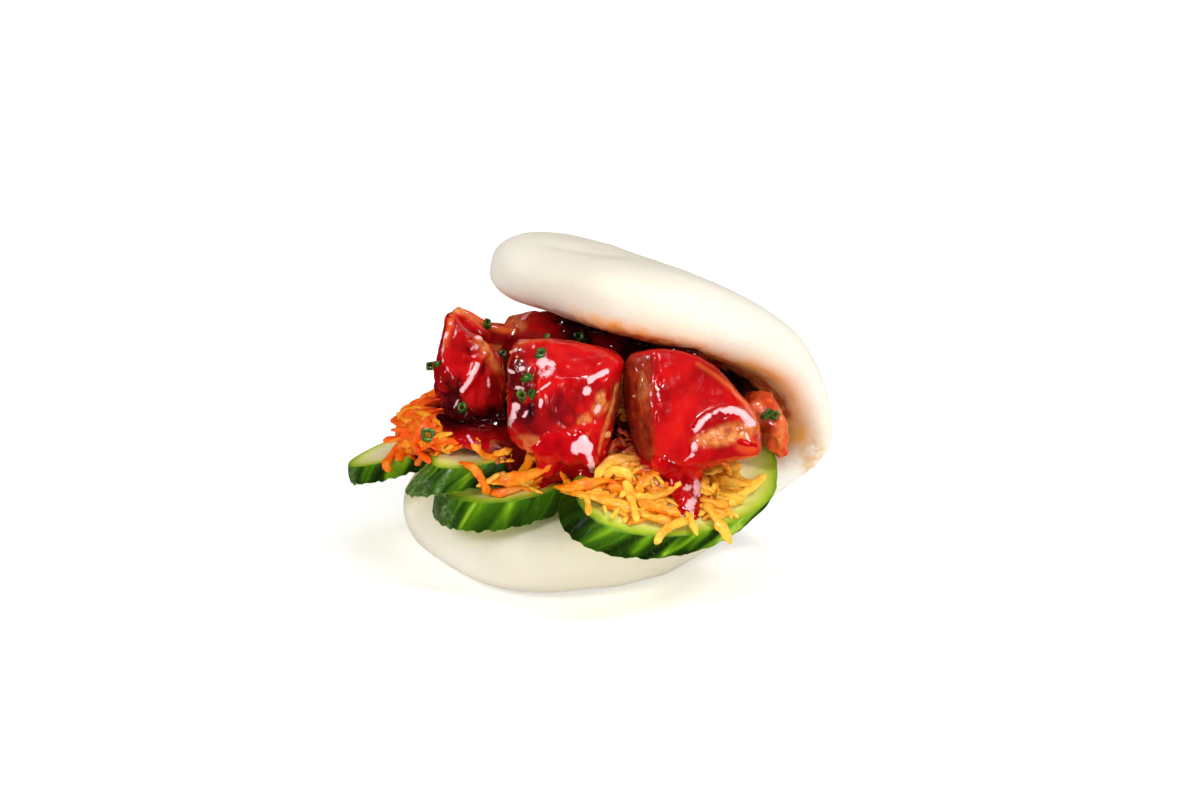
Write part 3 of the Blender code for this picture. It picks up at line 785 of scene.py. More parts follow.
def make_slice(node, seed, material):
    centre, major, minor, normal, half, thick, lean = slice_frame(node)
    angle = np.linspace(0, 2 * math.pi, AROUND, endpoint=False)
    circle = np.stack([np.cos(angle), np.sin(angle)], 1)
    flat = np.zeros(AROUND)

    def round_noise(size, slip, salt):
        turned = angle + slip
        where = np.stack([np.cos(turned) * size, np.sin(turned) * size, flat + seed + 0.5], 1)
        return lumps(where, 1.0, seed + salt)

    def dish(scale):
        where = np.column_stack([circle * half * scale, flat + seed * 0.01])
        return (lumps(where, 5 * MM, seed + 5) * 0.14 - 0.25 * (1 - scale)) * MM

    flute = 0.5 * np.cos(angle * 23 + 2 * np.sin(angle * 3 + seed)) + 0.5 * np.cos(angle * 37 + seed)
    fine = round_noise(30, 0, 1)
    edge_wave = (0.3 * flute + 0.3 * fine) * MM
    # Each row is a ring: its size, height from 1 to -1, how far it stands out, peel, and wave up and down
    rows = [(scale, 1.0, flat, 0.0, dish(scale)) for scale in UPPER_RINGS]
    rows.append((0.985, 0.99, flat, 0.35, flat - 0.02 * MM))
    for level in np.linspace(0.93, -0.93, PEEL_STEPS + 1):
        out = (0.35 * (1 - level * level) + 0.16 * flute + 0.1 * fine - 0.3) * MM
        rows.append((1.0, level, out, 1.0, edge_wave * max(0.0, -level) * 1.2))
    rows.append((0.985, -0.99, flat, 0.35, edge_wave))
    rows += [(scale, -1.0, flat, 0.0, edge_wave * scale * scale) for scale in LOWER_RINGS]
    points, streak = [], []
    for scale, level, out, _, wave in rows:
        size = circle * (half * scale + out[:, None])
        rise = level * thick / 2 + wave
        points.append(centre + size @ np.array([major, minor]) + rise[:, None] * normal + lean * level / 2)
        slip = -0.1 * level
        light = 0.42 + 0.5 * round_noise(7, slip, 2) + 0.26 * round_noise(17, slip, 3) + 0.12 * level
        streak.append(np.clip(light, 0, 1))
    points = nudged(np.concatenate(points), SLICE_NUDGES.get(node, ()), 13.0, 0.1)
    piece = new_object(node.replace("cucumber", "slice"), points,
                       ring_faces(len(rows), AROUND) + end_faces(len(rows), AROUND))
    u, v = to_px(points)
    end, soft = FROSTED.get(node, (-1000, 1))
    frost = smoothstep(end + soft, end - soft, u) * (0.75 + 0.25 * lumps(points, 3 * MM, 12))
    # A painted highlight along a ridge of the middle slice's peel
    if node == "cucumber_middle":
        frost += painted(u, v, (0.9, ((450, 469), (443, 480), (437, 492)), 2.5))
    add_masks(piece.data, frost=frost, streak=np.concatenate(streak) + painted(u, v, *STREAKS.get(node, ())),
              radial=np.repeat([row[0] + 0.04 * (node == "cucumber_front") for row in rows], AROUND),
              peel=np.repeat([row[3] for row in rows], AROUND))
    edited(piece.data, piece.data, lambda bm: bmesh.ops.recalc_face_normals(bm, faces=bm.faces))
    return finish_piece(piece, material, "cucumber", node)


# --- the carrot ---
WIDE_SECTION = np.array([(1, -0.4), (1, 0.4), (0.66, 1), (-0.66, 1), (-1, 0.4), (-1, -0.4), (-0.66, -1),
                         (0.66, -1)])
THIN_SECTION = np.array([(1, 0), (0.6, 1), (-0.6, 1), (-1, 0), (-0.6, -1), (0.6, -1)])
# Places across the picture (px). The far side's shreds lie left of the first. Left of the second there are
# fewer short shreds, left of the third they lie lower, and left of the last the marked ones are darker.
FAR_SIDE_U, SPARSE_U, LOW_U, DARK_U = 450, 470, 475, 550
# Where shreds turn lighter and darker, where the heap is low, and where painted shade and glaze darken it in
# the gaps under the chicken (px)
LIGHTER_U, DARKER_U = (685, 705), (490, 440)
LOW_RIGHT, LOW_LEFT = ((750, 468), (36, 26), 0, 0.4), ((522, 458), (14, 9), 0, 0.4)
SOAKED_CORE = ((1, (516, 458), (24, 16), 0, 0.4), (1, (618, 440), (28, 22), 0, 0.4))
SOAKED_SHREDS = (((620, 438), (22, 18), 0, 0.4), ((504, 430), (20, 12), 0, 0.4))
# Carrot shreds that stand out in the picture: points (px), width (mm), height above the heap (mm)
MARKED_SHREDS = (
    (((440, 399), (424, 403), (412, 409), (399, 419)), 2.4, 1.0),
    (((442, 409), (425, 413), (410, 416), (399, 422)), 2.3, 1.6),
    (((440, 416), (422, 424), (408, 429), (391, 430)), 2.2, 1.2),
    (((436, 424), (420, 432), (404, 437), (383, 441)), 2.2, 1.8),
    (((428, 420), (416, 438), (408, 450), (396, 460)), 2.2, 1.4),
    (((410, 430), (400, 446), (391, 457), (386, 464), (390, 472)), 2.0, 2.4),
    (((437, 411), (426, 424), (418, 437), (419, 450), (430, 463)), 1.8, 3.0),
    (((462, 446), (445, 449), (430, 447), (423, 440)), 2.3, 2.0),
    (((470, 437), (455, 441), (440, 440), (428, 436)), 2.2, 1.2),
    (((424, 395), (425, 403), (430, 412)), 1.4, 0.8),
    (((474, 438), (478, 448), (488, 456), (514, 461)), 2.2, 1.6),
    (((512, 449), (500, 453), (490, 455)), 1.4, 0.6),
    (((460, 462), (471, 466), (479, 475), (485, 486), (487, 495)), 2.0, 1.6),
    (((487, 491), (500, 493), (516, 488), (530, 484), (546, 474)), 1.6, 2.0),
    (((492, 484), (508, 480), (525, 476), (541, 470), (552, 462)), 2.3, 2.6),
    (((519, 476), (527, 466), (533, 456), (541, 458)), 2.0, 3.2),
    (((596, 479), (603, 467), (615, 460), (632, 460), (646, 467), (661, 469)), 2.3, 4.2),
    (((554, 487), (572, 487), (590, 483), (607, 480), (622, 484)), 2.4, 3.2),
    (((561, 472), (566, 480), (572, 488)), 1.3, 3.4),
    (((561, 491), (580, 494), (600, 499), (619, 504), (633, 511)), 2.2, 2.4),
    (((584, 494), (588, 503), (588, 515)), 1.1, 2.6),
    (((624, 481), (633, 494), (642, 498), (661, 493), (681, 483)), 2.0, 4.6),
    (((628, 494), (633, 504), (637, 521)), 1.6, 3.4),
    (((663, 468), (651, 475), (641, 485), (638, 496)), 2.0, 4.8),
    (((638, 503), (655, 507), (669, 511), (680, 515)), 2.0, 3.0),
    (((638, 513), (655, 518), (672, 523)), 1.8, 2.0),
    (((692, 519), (676, 524), (664, 531), (655, 544)), 1.8, 2.6),
    (((686, 512), (692, 523), (697, 535)), 1.3, 2.6),
    (((604, 478), (614, 470), (628, 474), (631, 487), (620, 497)), 2.0, 3.6),
    (((608, 486), (622, 491), (634, 500)), 2.0, 2.6),
    (((706, 503), (715, 517), (723, 529), (731, 544)), 2.4, 2.2),
    (((704, 474), (722, 467), (742, 466)), 2.0, 2.6),
    (((766, 475), (756, 483), (743, 494), (729, 505)), 1.8, 1.6),
    (((702, 486), (716, 492), (730, 497), (744, 497)), 2.1, 2.4),
    (((700, 497), (714, 503), (728, 505)), 2.0, 2.0),
    (((722, 462), (728, 468), (730, 478)), 1.2, 1.4),
    (((718, 478), (730, 482), (744, 484), (754, 480)), 2.0, 2.4),
)
# Where the picture shows a mass of shreds: an outline (px), how many extra shreds, and their lengths (px)
SHRED_MASSES = (
    (((402, 406), (440, 396), (452, 418), (446, 446), (424, 458), (404, 450), (388, 440)), 46, (12, 34)),
    (((690, 462), (706, 452), (740, 450), (766, 462), (770, 484), (752, 506), (722, 518), (700, 514)),
     120, (10, 30)),
    (((566, 486), (600, 468), (628, 460), (664, 468), (676, 486), (676, 512), (640, 514), (600, 502)),
     60, (14, 40)),
    (((480, 478), (520, 468), (556, 470), (548, 486), (500, 492)), 14, (12, 30)),
    (((596, 500), (640, 505), (690, 508), (700, 518), (660, 524), (620, 514)), 20, (14, 34)),
)
# Where the picture shows no shreds, but what is under them (px)
BARE_PLACES = (
    ((440, 404), (514, 404), (514, 436), (478, 438), (456, 430), (444, 418)),
    ((738, 454), (760, 440), (786, 446), (786, 498), (766, 500), (752, 508), (738, 517), (734, 510),
     (752, 488), (744, 474)),
    ((514, 450), (530, 450), (526, 462), (516, 472), (506, 470)),
    ((540, 440), (596, 440), (600, 476), (566, 482), (548, 488), (540, 470)),
    ((662, 464), (698, 464), (700, 500), (690, 506), (672, 488)),
    ((740, 506), (786, 496), (786, 540), (740, 540)),
    ((468, 436), (514, 440), (508, 450), (494, 452), (506, 460), (514, 468), (494, 474), (478, 464)),
    ((404, 376), (442, 376), (442, 399), (428, 398), (412, 406), (397, 417), (384, 412)),
)


def make_core():
    """The inside of the carrot heap, which shows between its shreds in carrot colours darkened with painted
    shade.
    """
    core, mesh, co, _ = remeshed_node("carrot_heap", "carrot_core", 1.3 * MM, 4)
    no = put_coordinates(mesh, co)
    co = co + no * ((-1.3 + 0.5 * lumps(co, 2.6 * MM, 51) + 0.4 * lumps(co, 5 * MM, 52)) * MM)[:, None]
    u, v = to_px(co)
    low = np.maximum(spot(u, v, *LOW_RIGHT), 0.6 * spot(u, v, *LOW_LEFT))
    co[:, 2] = np.maximum(co[:, 2] - 9 * MM * low, np.minimum(co[:, 2], 10 * MM))
    put_coordinates(mesh, co)
    # Glaze soaks the core at random, and painted shade darkens it in the gaps under the chicken
    add_masks(mesh, tone=0.3 + 0.3 * lumps(co, 3 * MM, 53),
              soaked=0.5 + 0.5 * lumps(co, 9 * MM, 54) + painted(u, v, *SOAKED_CORE))
    return core


def catmull(points, steps):
    """A smooth line of steps points through the given ones."""
    p = np.vstack([2 * points[0] - points[1], points, 2 * points[-1] - points[-2]])
    spans = len(points) - 1
    out = []
    for t in np.arange(steps) / (steps - 1) * spans:
        i = min(int(t), spans - 1)
        f = t - i
        a, b, c, d = p[i:i + 4]
        out.append(0.5 * (2 * b + (c - a) * f + (2 * a - 5 * b + 4 * c - d) * f * f
                          + (3 * b - a - 3 * c + d) * f ** 3))
    return np.array(out)


class Shreds:
    """Collects carrot shreds into one mesh."""

    def __init__(self):
        self.verts, self.faces, self.tone, self.total = [], [], [], 0

    def add(self, line, width, thick, normal, tone, seed, section=WIDE_SECTION):
        """A flat, ragged strip along the points of line, pointed at both ends."""
        n, sides = len(line), len(section)
        tangent = np.gradient(line, axis=0)
        tangent /= np.linalg.norm(tangent, axis=1, keepdims=True) + 1e-12
        side = np.cross(tangent, normal)
        side /= np.linalg.norm(side, axis=1, keepdims=True) + 1e-12
        up = np.cross(side, tangent)
        t = np.linspace(0, 1, n)
        first, last = 3 + 6 * lattice(seed, 1, 1, 5), 3 + 6 * lattice(seed, 2, 1, 5)
        taper = np.minimum(1, np.minimum(t * first, (1 - t) * last) + 0.16) ** 0.7
        along_it = np.stack([t * 11, np.full(n, seed * 1.7), np.zeros(n)], 1)
        ragged = 1 + 0.3 * lumps(along_it, 1.0, seed)
        twist = 0.9 * lumps(along_it * 0.25 + 3, 1.0, seed + 9)
        rough = 0.12 * width * lattice(np.arange(n)[:, None], np.arange(sides)[None, :], seed, 8)
        x = section[None, :, 0] * ((width / 2 * taper * ragged)[:, None] + rough)
        y = section[None, :, 1] * (thick / 2 * taper * (1.7 - ragged * 0.7))[:, None]
        c, s = np.cos(twist)[:, None], np.sin(twist)[:, None]
        ring = (line[:, None, :] + side[:, None, :] * (x * c - y * s)[:, :, None]
                + up[:, None, :] * (x * s + y * c)[:, :, None])
        self.verts.append(ring.reshape(-1, 3))
        self.tone.append(np.full(n * sides, tone))
        self.faces += [[i + self.total for i in face] for face in ring_faces(n, sides) + end_faces(n, sides)]
        self.total += n * sides

    def build(self, name, material, soak_tree, *replaced):
        points = np.concatenate(self.verts)
        piece = new_object(name, points, self.faces)
        u, v = to_px(points)
        shift = 0.25 * smoothstep(*LIGHTER_U, u) - 0.3 * smoothstep(*DARKER_U, u)
        away = distance_to(soak_tree, points, 12 * MM)
        soaked = smoothstep(2.6 * MM, 0.3 * MM, away + 1.2 * MM * lumps(points, 4 * MM, 61))
        # Painted shade and glaze in the gaps under the chicken
        between = np.maximum(*(spot(u, v, *place) for place in SOAKED_SHREDS))
        add_masks(piece.data, tone=np.concatenate(self.tone) + shift,
                  soaked=np.maximum(soaked * 0.8, between * 0.9))
        return finish_piece(piece, material, "carrot", *replaced)


def px_depth(tree, u, v):
    """How far along the line of sight the picture's point (u, v) shows a surface, or nan."""
    hit = px_hit(tree, u, v)[0]
    return math.nan if hit is None else -((np.array(hit) - EYE) @ BACK)


def laid_line(tree, points, lift, most_bend, dense=0):
    """A line through points of the picture, lift metres nearer than what they show, without jumps."""
    flat = np.array([(u, v, 0.0) for u, v in points])
    if dense:
        flat = catmull(flat, dense)
    depth = np.array([px_depth(tree, u, v) for u, v, _ in flat])
    known = ~np.isnan(depth)
    if not known.any():
        return None
    order = np.arange(len(depth))
    depth = np.interp(order, order[known], depth[known]) - lift
    slope, start = np.polyfit(order, depth, 1)
    straight = start + slope * order
    depth = np.clip(depth, straight - most_bend, straight + most_bend)
    return np.array([px_place(u, v, d) for (u, v, _), d in zip(flat, depth)])


def crawl(start, way, up, steps, step, layer, curl, heap_tree, solids, rng):
    """A line that creeps over the heap at a height of layer and keeps out of the other pieces."""
    line, ups, here = [], [], start
    for _ in range(steps):
        line.append(here.copy())
        ups.append(up)
        way = np.array(Matrix.Rotation(curl + rng.normal(0, 0.05), 3, Vector(up)) @ Vector(way))
        here = here + way * step
        found = heap_tree.find_nearest(Vector(here))
        up = np.array(found[1])
        pull = np.array(found[0]) + up * layer - here
        here = here + pull * (0.55 if np.linalg.norm(pull) < 3 * MM else 0.2)
        near, facing = solids.find_nearest(Vector(here), 3 * MM)[:2]
        if near is not None:
            outward = here - np.array(near)
            if outward @ np.array(facing) < 0 or np.linalg.norm(outward) < 0.8 * MM:
                here = np.array(near) + np.array(facing) * 0.8 * MM
        way = unit(here - line[-1])
    return np.array(line), unit(np.mean(ups, 0))


def is_bare(points):
    return any(in_outline(u, v, place) for place in BARE_PLACES for u, v in points)


def add_loose_shreds(shreds, core, solids, rng, far_side=False):
    """Long and then short shreds all over the heap, or only over the side that the picture doesn't show."""
    heap_tree = tree_of(core)
    co, no = coordinates(core.data), normals(core.data)
    if far_side:
        long_ones, short_ones = ((70, 70))
    else:
        long_ones, short_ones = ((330, 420))
    made = 0
    for i in rng.permutation(len(co)):
        if made >= long_ones + short_ones:
            break
        p, n = co[i], no[i]
        in_view = to_px(p)[0][0]
        short = made >= long_ones
        if far_side and (n @ BACK > -0.05 or in_view > FAR_SIDE_U):
            continue
        if n[2] < -0.35 or (short and made % 2 and not far_side and in_view < SPARSE_U):
            made += n[2] >= -0.35
            continue
        reach = (2.5 if short else 5) * MM
        rays = ((p + n * 0.4 * MM, n), (p + UPRIGHT * 0.5 * MM, UPRIGHT))
        if any(solids.ray_cast(Vector(start), Vector(way), reach)[0] is not None for start, way in rays):
            continue
        layer = rng.uniform(0.3, 1.3 if in_view < LOW_U else 2.8 if short else 2.2) * MM
        if far_side:
            layer = rng.uniform(-0.2, 0.3) * MM
        heading = rng.uniform(0, 2 * math.pi) if short else math.radians(rng.normal(0, 45))
        flow = view_way(math.cos(heading), math.sin(heading), rng.normal(0, 0.5) * short)
        direction = unit(flow - n * (flow @ n) * (0.6 if short else 1))
        length = (rng.uniform(3.5, 9) if short else rng.uniform(9, 22)) * MM
        steps = max(5, int(length / (1.3 * MM)))
        line, up = crawl(p + n * layer, direction, n, steps, length / steps, layer, rng.normal(0, 0.07),
                         heap_tree, solids, rng)
        if not far_side and is_bare(np.transpose(to_px(line))):
            continue
        line = catmull(line[::2] if len(line) > 6 else line, 9 if short else len(line) + 2)
        width = rng.uniform(0.9, 1.7) if short else rng.uniform(1.4, 2.3)
        thick = rng.uniform(0.5, 0.8) if short else rng.uniform(0.7, 1.1)
        shreds.add(line, width * MM, thick * MM, up, rng.uniform(0.0, 1.0), made + 7,
                   THIN_SECTION if short else WIDE_SECTION)
        made += 1


def add_massed_shreds(shreds, show_tree, carry_tree, rng):
    """Short shreds over the places where the picture shows them thickest, each lying on what is there."""
    made = 0
    for outline, count, lengths in SHRED_MASSES:
        low, high = np.min(outline, 0), np.max(outline, 0)
        placed, tries = 0, 0
        while placed < (count) and tries < count * 20:
            tries += 1
            u, v = rng.uniform(low[0], high[0]), rng.uniform(low[1], high[1])
            if not in_outline(u, v, outline):
                continue
            turn, length, bow = rng.normal(0.1, 0.75), rng.uniform(*lengths), rng.normal(0, 0.16)
            lift = rng.uniform(0.2, 1.7) * MM
            points = []
            for t in (-0.5, -0.25, 0, 0.25, 0.5):
                a, b = t * length, (0.25 - t * t) * length * bow * 4
                points.append((u + a * math.cos(turn) - b * math.sin(turn),
                               v + 0.75 * (a * math.sin(turn) + b * math.cos(turn))))
            if is_bare(points):
                continue
            shown = [px_depth(show_tree, *p) for p in points]
            carried = [px_depth(carry_tree, *p) for p in points]
            if any(math.isnan(c) or s < c - 0.3 * MM for s, c in zip(shown, carried)):
                continue
            if max(carried) - min(carried) > 7 * MM:
                continue
            line = laid_line(carry_tree, points, lift, 2 * MM)
            up = unit(BACK * 0.6 + UPRIGHT * 0.8 + rng.normal(0, 0.25, 3))
            shreds.add(catmull(line, 9), rng.uniform(1.0, 1.9) * MM, rng.uniform(0.6, 0.9) * MM, up,
                       rng.uniform(0.4, 1.0), 2000 + made, THIN_SECTION)
            placed += 1
            made += 1


def make_carrot(core, show_tree, carry_tree, solids, soak_tree, rng):
    shreds = Shreds()
    add_loose_shreds(shreds, core, solids, rng)
    add_massed_shreds(shreds, show_tree, carry_tree, rng)
    add_loose_shreds(shreds, core, solids, np.random.default_rng(12), far_side=True)
    up = unit(BACK * 0.7 + UPRIGHT * 0.7)
    for k, (points, width, lift) in enumerate(MARKED_SHREDS):
        line = laid_line(show_tree, points, (min(lift, 3.2) + 0.3) * MM, 2.5 * MM)
        if line is None:
            continue
        tone = (0.4 + 0.6 * ((k * 37) % 17) / 17) * (0.6 if points[0][0] < DARK_U else 1.0)
        shreds.add(catmull(line, 18), width * MM, 1.05 * MM, up, tone, k + 900)
    # The last colour is glaze-soaked red, which also paints shade in the gaps under the chicken
    look = carrot_material("carrot_shreds", (250, 88, 0), (255, 150, 12), (255, 204, 72), (196, 34, 12))
    return shreds.build("carrot_shreds", look, soak_tree, "carrot_heap")


# --- the glaze that has run ---
# Strokes above this place of the picture (px) run in the shade under the leaf, where depth may change more
SHADE_V = 432
# Strokes on what the picture shows: points (px), radius at the start and end (mm), how deep they sink (mm)
GLAZE_STROKES = (
    (((562, 432), (570, 450), (577, 466), (588, 474)), 2.2, 2.7, 2.0),
    (((548, 436), (553, 454), (556, 472), (560, 482)), 2.2, 2.0, 1.8),
    (((580, 436), (588, 450), (591, 468)), 1.7, 2.3, 1.1),
    (((540, 446), (545, 464), (548, 480), (540, 490)), 2.0, 1.5, 1.5),
    (((562, 466), (576, 474), (592, 477)), 1.8, 1.5, 1.4),
    (((452, 432), (470, 437), (488, 439), (506, 436)), 2.4, 2.7, 2.4),
    (((462, 440), (480, 446), (494, 450)), 1.6, 1.1, 1.3),
    (((440, 418), (452, 430), (462, 440)), 1.3, 1.6, 1.3),
    (((664, 462), (670, 476), (678, 490), (685, 504)), 2.8, 2.2, 1.6),
    (((690, 464), (697, 480), (697, 498), (693, 516)), 2.2, 1.2, 1.2),
    (((676, 468), (682, 484), (683, 500), (682, 513)), 2.2, 1.5, 1.0),
    (((738, 441), (748, 444), (756, 446)), 0.9, 0.7, 0.6),
    (((642, 460), (656, 466), (674, 468)), 1.4, 1.8, 1.5),
    (((604, 470), (602, 452), (616, 444), (634, 452)), 1.0, 1.0, 1.6),
    (((461, 413), (472, 417), (486, 417), (500, 415)), 1.8, 2.2, 2.2),
    (((456, 420), (474, 426), (490, 427), (504, 426)), 1.9, 2.2, 1.9),
    # These three run under the leaf, where painted shade makes them dark
    (((560, 322), (580, 328), (602, 335), (624, 342)), 2.2, 2.0, 1.0),
    (((566, 332), (590, 338), (616, 348), (624, 356)), 1.8, 1.6, 0.6),
    (((640, 344), (660, 348), (690, 354), (716, 364)), 1.6, 1.6, 0.8),
)
# The sheet of skin and glaze between the left and the rear piece, and the knob at the left: as above
SKIN_STRIP = (
    (((458, 310), (468, 315), (480, 322), (492, 328), (504, 330), (515, 331)), 0.9, 0.9, 0.4),
    (((474, 326), (486, 333), (498, 338), (512, 338)), 1.9, 1.7, 1.0),
    (((457, 314), (465, 321), (474, 330), (484, 338)), 1.3, 1.6, 0.6),
    (((452, 310), (460, 308)), 1.1, 1.0, 0.5),
    (((449, 374), (443, 370), (437, 366), (433, 365)), 1.4, 0.9, 1.0),
    (((447, 388), (441, 380), (438, 372)), 1.3, 1.0, 1.0),
)


# Painted highlights of the run glaze, as painted takes them, and where painted shade darkens it (px): under
# the leaf, and in the left pool under the left piece
GLAZE_PALE = ((0.7, (582, 445), (11, 8), 40, 0.8), (0.7, ((588, 450), (593, 470)), 4.5),
              (0.7, ((699, 484), (695, 497), (690, 506)), 5.5), (0.6, (684, 487), (6, 4), 0, 0.8),
              (0.6, (692, 515), (4, 5), 0, 0.8), (0.5, ((663, 458), (684, 466)), 1.6),
              (0.5, ((468, 436), (473, 444)), 2))
SHADE_EDGE_V, POOL_V, POOL_U = (SHADE_V, 415), (440, 428), (520, 500)
SKIN_MEAT, SKIN_DEEP_V = (0.6, (456, 308), (9, 5), 0, 0.5), (326, 336)


def ball():
    """The points and faces of a ball with a radius of 1."""
    bm = bmesh.new()
    bmesh.ops.create_icosphere(bm, subdivisions=2, radius=1.0)
    verts = np.array([v.co for v in bm.verts])
    faces = np.array([[v.index for v in f.verts] for f in bm.faces])
    bm.free()
    return verts, faces


def relax_line(points, times):
    for _ in range(times):
        inner = (points[:-2] + 2 * points[1:-1] + points[2:]) / 4
        points = np.vstack([points[:1], inner, points[-1:]])
    return points


def make_run(name, strokes, tree, voxel, swell, spans=False):
    """A lump that follows strokes of the picture, half sunk in what is there, or spanning a gap there."""
    ball_verts, ball_faces = ball()
    verts, faces = [], []
    for k, (points, first, last, sink) in enumerate(strokes):
        shaded = not spans and max(v for _, v in points) < SHADE_V
        placed = laid_line(tree, points, -sink * MM, (14 if shaded else 4) * MM, 4 * len(points) + 6)
        if placed is None:
            continue
        placed = relax_line(placed, 3)
        length = np.linalg.norm(np.diff(placed, axis=0), axis=1).sum()
        balls = max(2 * len(placed), int(length / (0.4 * MM)))
        for j, at in enumerate(catmull(placed, balls)):
            r = (first + (last - first) * j / (balls - 1)) * (1 + 0.06 * math.sin(j * 0.7 + k)) * MM
            if not spans and tree.find_nearest(Vector(at), r * 0.9)[0] is None:
                continue
            faces.append(ball_faces + len(verts) * len(ball_verts))
            verts.append(ball_verts * r + at)
    piece = new_object(name, np.concatenate(verts), np.concatenate(faces))
    mesh, co, _ = remeshed(piece, voxel, 12)
    no = put_coordinates(mesh, co)
    co = co + no * ((swell * lumps(co, 3.2 * MM, 71) + 0.3) * MM)[:, None]
    put_coordinates(mesh, co)
    return piece, co


def make_glaze(tree, material):
    piece, co = make_run("running_glaze", GLAZE_STROKES, tree, (0.42) * MM, 0.12)
    u, v = to_px(co)
    # Painted shade: dark under the leaf and in the left pool under the left piece, over dark patches of glaze
    deep = smoothstep(*SHADE_EDGE_V, v) * 0.9 + 0.3 * lumps(co, 4 * MM, 72)
    add_masks(piece.data, deep=deep + 0.5 * smoothstep(*POOL_V, v) * smoothstep(*POOL_U, u),
              pale=painted(u, v, *GLAZE_PALE) * (0.9 + 0.5 * lumps(co, 1.8 * MM, 95)))
    return finish_piece(piece, material, "chicken")


def make_skin(tree, material):
    piece, co = make_run("glazed_skin", SKIN_STRIP, tree, (0.38) * MM, 0.2, True)
    u, v = to_px(co)
    on_rim = along(u, v, SKIN_STRIP[0][0], 3.0)
    add_masks(piece.data, rim=on_rim * 0.9, meat=on_rim * 0.3 + painted(u, v, SKIN_MEAT),
              # Painted shade on the strip's lower part
              deep=smoothstep(0.5, 0.1, on_rim) * smoothstep(*SKIN_DEEP_V, v) * 0.5,
              **dict.fromkeys(("side", "char", "rough", "pale"), 0 * on_rim))
    return finish_piece(piece, material, "chicken")


# --- chives and crumbs ---
# Where chive rings lie: point (px), radius and length (mm), and how they are turned (degrees, and below 10
# they face the camera)
CHIVES = (
    ((431, 366), 1.05, 1.6, 15), ((438, 364), 0.7, 1.2, 70), ((428, 435), 1.5, 1.2, 5),
    ((487, 324), 0.9, 1.6, 60), ((540, 355), 1.2, 2.2, 40), ((547, 338), 0.7, 1.6, 80),
    ((527, 378), 1.0, 2.2, 20), ((522, 396), 0.9, 2.0, 50), ((532, 394), 0.8, 1.8, 100),
    ((577, 337), 1.0, 2.4, 85), ((586, 341), 0.8, 1.8, 30), ((768, 414), 0.9, 1.6, 60),
    ((774, 416), 1.0, 1.8, 20), ((764, 417), 0.7, 1.4, 110), ((504, 354), 0.8, 1.6, 65),
    ((462, 408), 0.9, 1.8, 90),
)
# The rings of a chive's wall, outside and then inside: radius and height
CHIVE_WALL = ((1, -0.5), (1.04, 0), (1, 0.5), (0.58, 0.4), (0.4, 0), (0.58, -0.4))
# Where crumbs lie: point (px) and radius (mm)
CRUMBS = (((607, 434), 0.95), ((612, 438), 0.6), ((655, 482), 1.0), ((661, 486), 0.7), ((634, 396), 0.55),
          ((622, 402), 0.5), ((512, 352), 0.6), ((517, 357), 0.5), ((503, 458), 0.8), ((497, 462), 0.6))


def lay(tree, u, v, lift):
    """A point lift above what the picture's point (u, v) shows, towards the eye, and the normal there."""
    hit, normal = px_hit(tree, u, v)
    if hit is None:
        return None, None
    at = np.array(hit)
    return at + unit(EYE - at) * lift, normal


def make_chives(tree):
    verts, faces, around = [], [], 18
    for k, ((u, v), radius, length, turn) in enumerate(CHIVES):
        towards_eye = turn < 10
        at, n = lay(tree, u, v, (0.9 if towards_eye else 0.2) * MM)
        if at is None:
            continue
        axis = Vector(RIGHT * math.cos(math.radians(turn)) + UP * math.sin(math.radians(turn)))
        axis = (axis * 0.25 + Vector(BACK) if towards_eye else axis * 0.6 + n * 0.8).normalized()
        side = axis.orthogonal().normalized()
        other = axis.cross(side)
        for face in ring_faces(len(CHIVE_WALL), around, True):
            faces.append([len(verts) + i for i in reversed(face)])
        for r, h in CHIVE_WALL:
            for i in range(around):
                a = 2 * math.pi * i / around
                squash = 1 + 0.22 * math.sin(2 * a + k)
                c = Vector(at) + axis * ((h + 0.2 * math.sin(a + 1.7 * k)) * length * MM)
                c += side * (math.cos(a) * r * radius * MM * squash)
                verts.append(c + other * (math.sin(a) * r * radius * MM / squash))
    look = speck_material("chive", ((0.3, 20, 40, 4), (0.55, 54, 96, 10), (0.8, 112, 154, 36)), 2, 0.00012,
                          Roughness=0.35, Subsurface_Weight=0.1, Subsurface_Scale=0.001)
    return finish_piece(new_object("chives", verts, faces), look, "cucumber")


def make_crumbs(tree):
    ball_verts, ball_faces = ball()
    verts, faces = [], []
    for k, ((u, v), radius) in enumerate(CRUMBS):
        at, _ = lay(tree, u, v, radius * 0.5 * MM)
        if at is None:
            continue
        shape = ball_verts * np.array([1.0, 0.85, 0.8]) * radius * MM
        shape = shape * (1 + 0.45 * lumps(shape, 0.8 * MM, 80 + k))[:, None]
        faces.append(ball_faces + len(verts) * len(ball_verts))
        verts.append(shape + at)
    piece = new_object("crumbs", np.concatenate(verts), np.concatenate(faces))
    rounded(piece, 1)
    look = speck_material("crumb", ((0.3, 160, 78, 34), (0.6, 214, 140, 76), (0.8, 240, 196, 140)), 3, 0.0002,
                          Roughness=0.4)
    return finish_piece(applied(piece), look, "carrot")


# --- the studio ---
WHITE = (1, 1, 1)
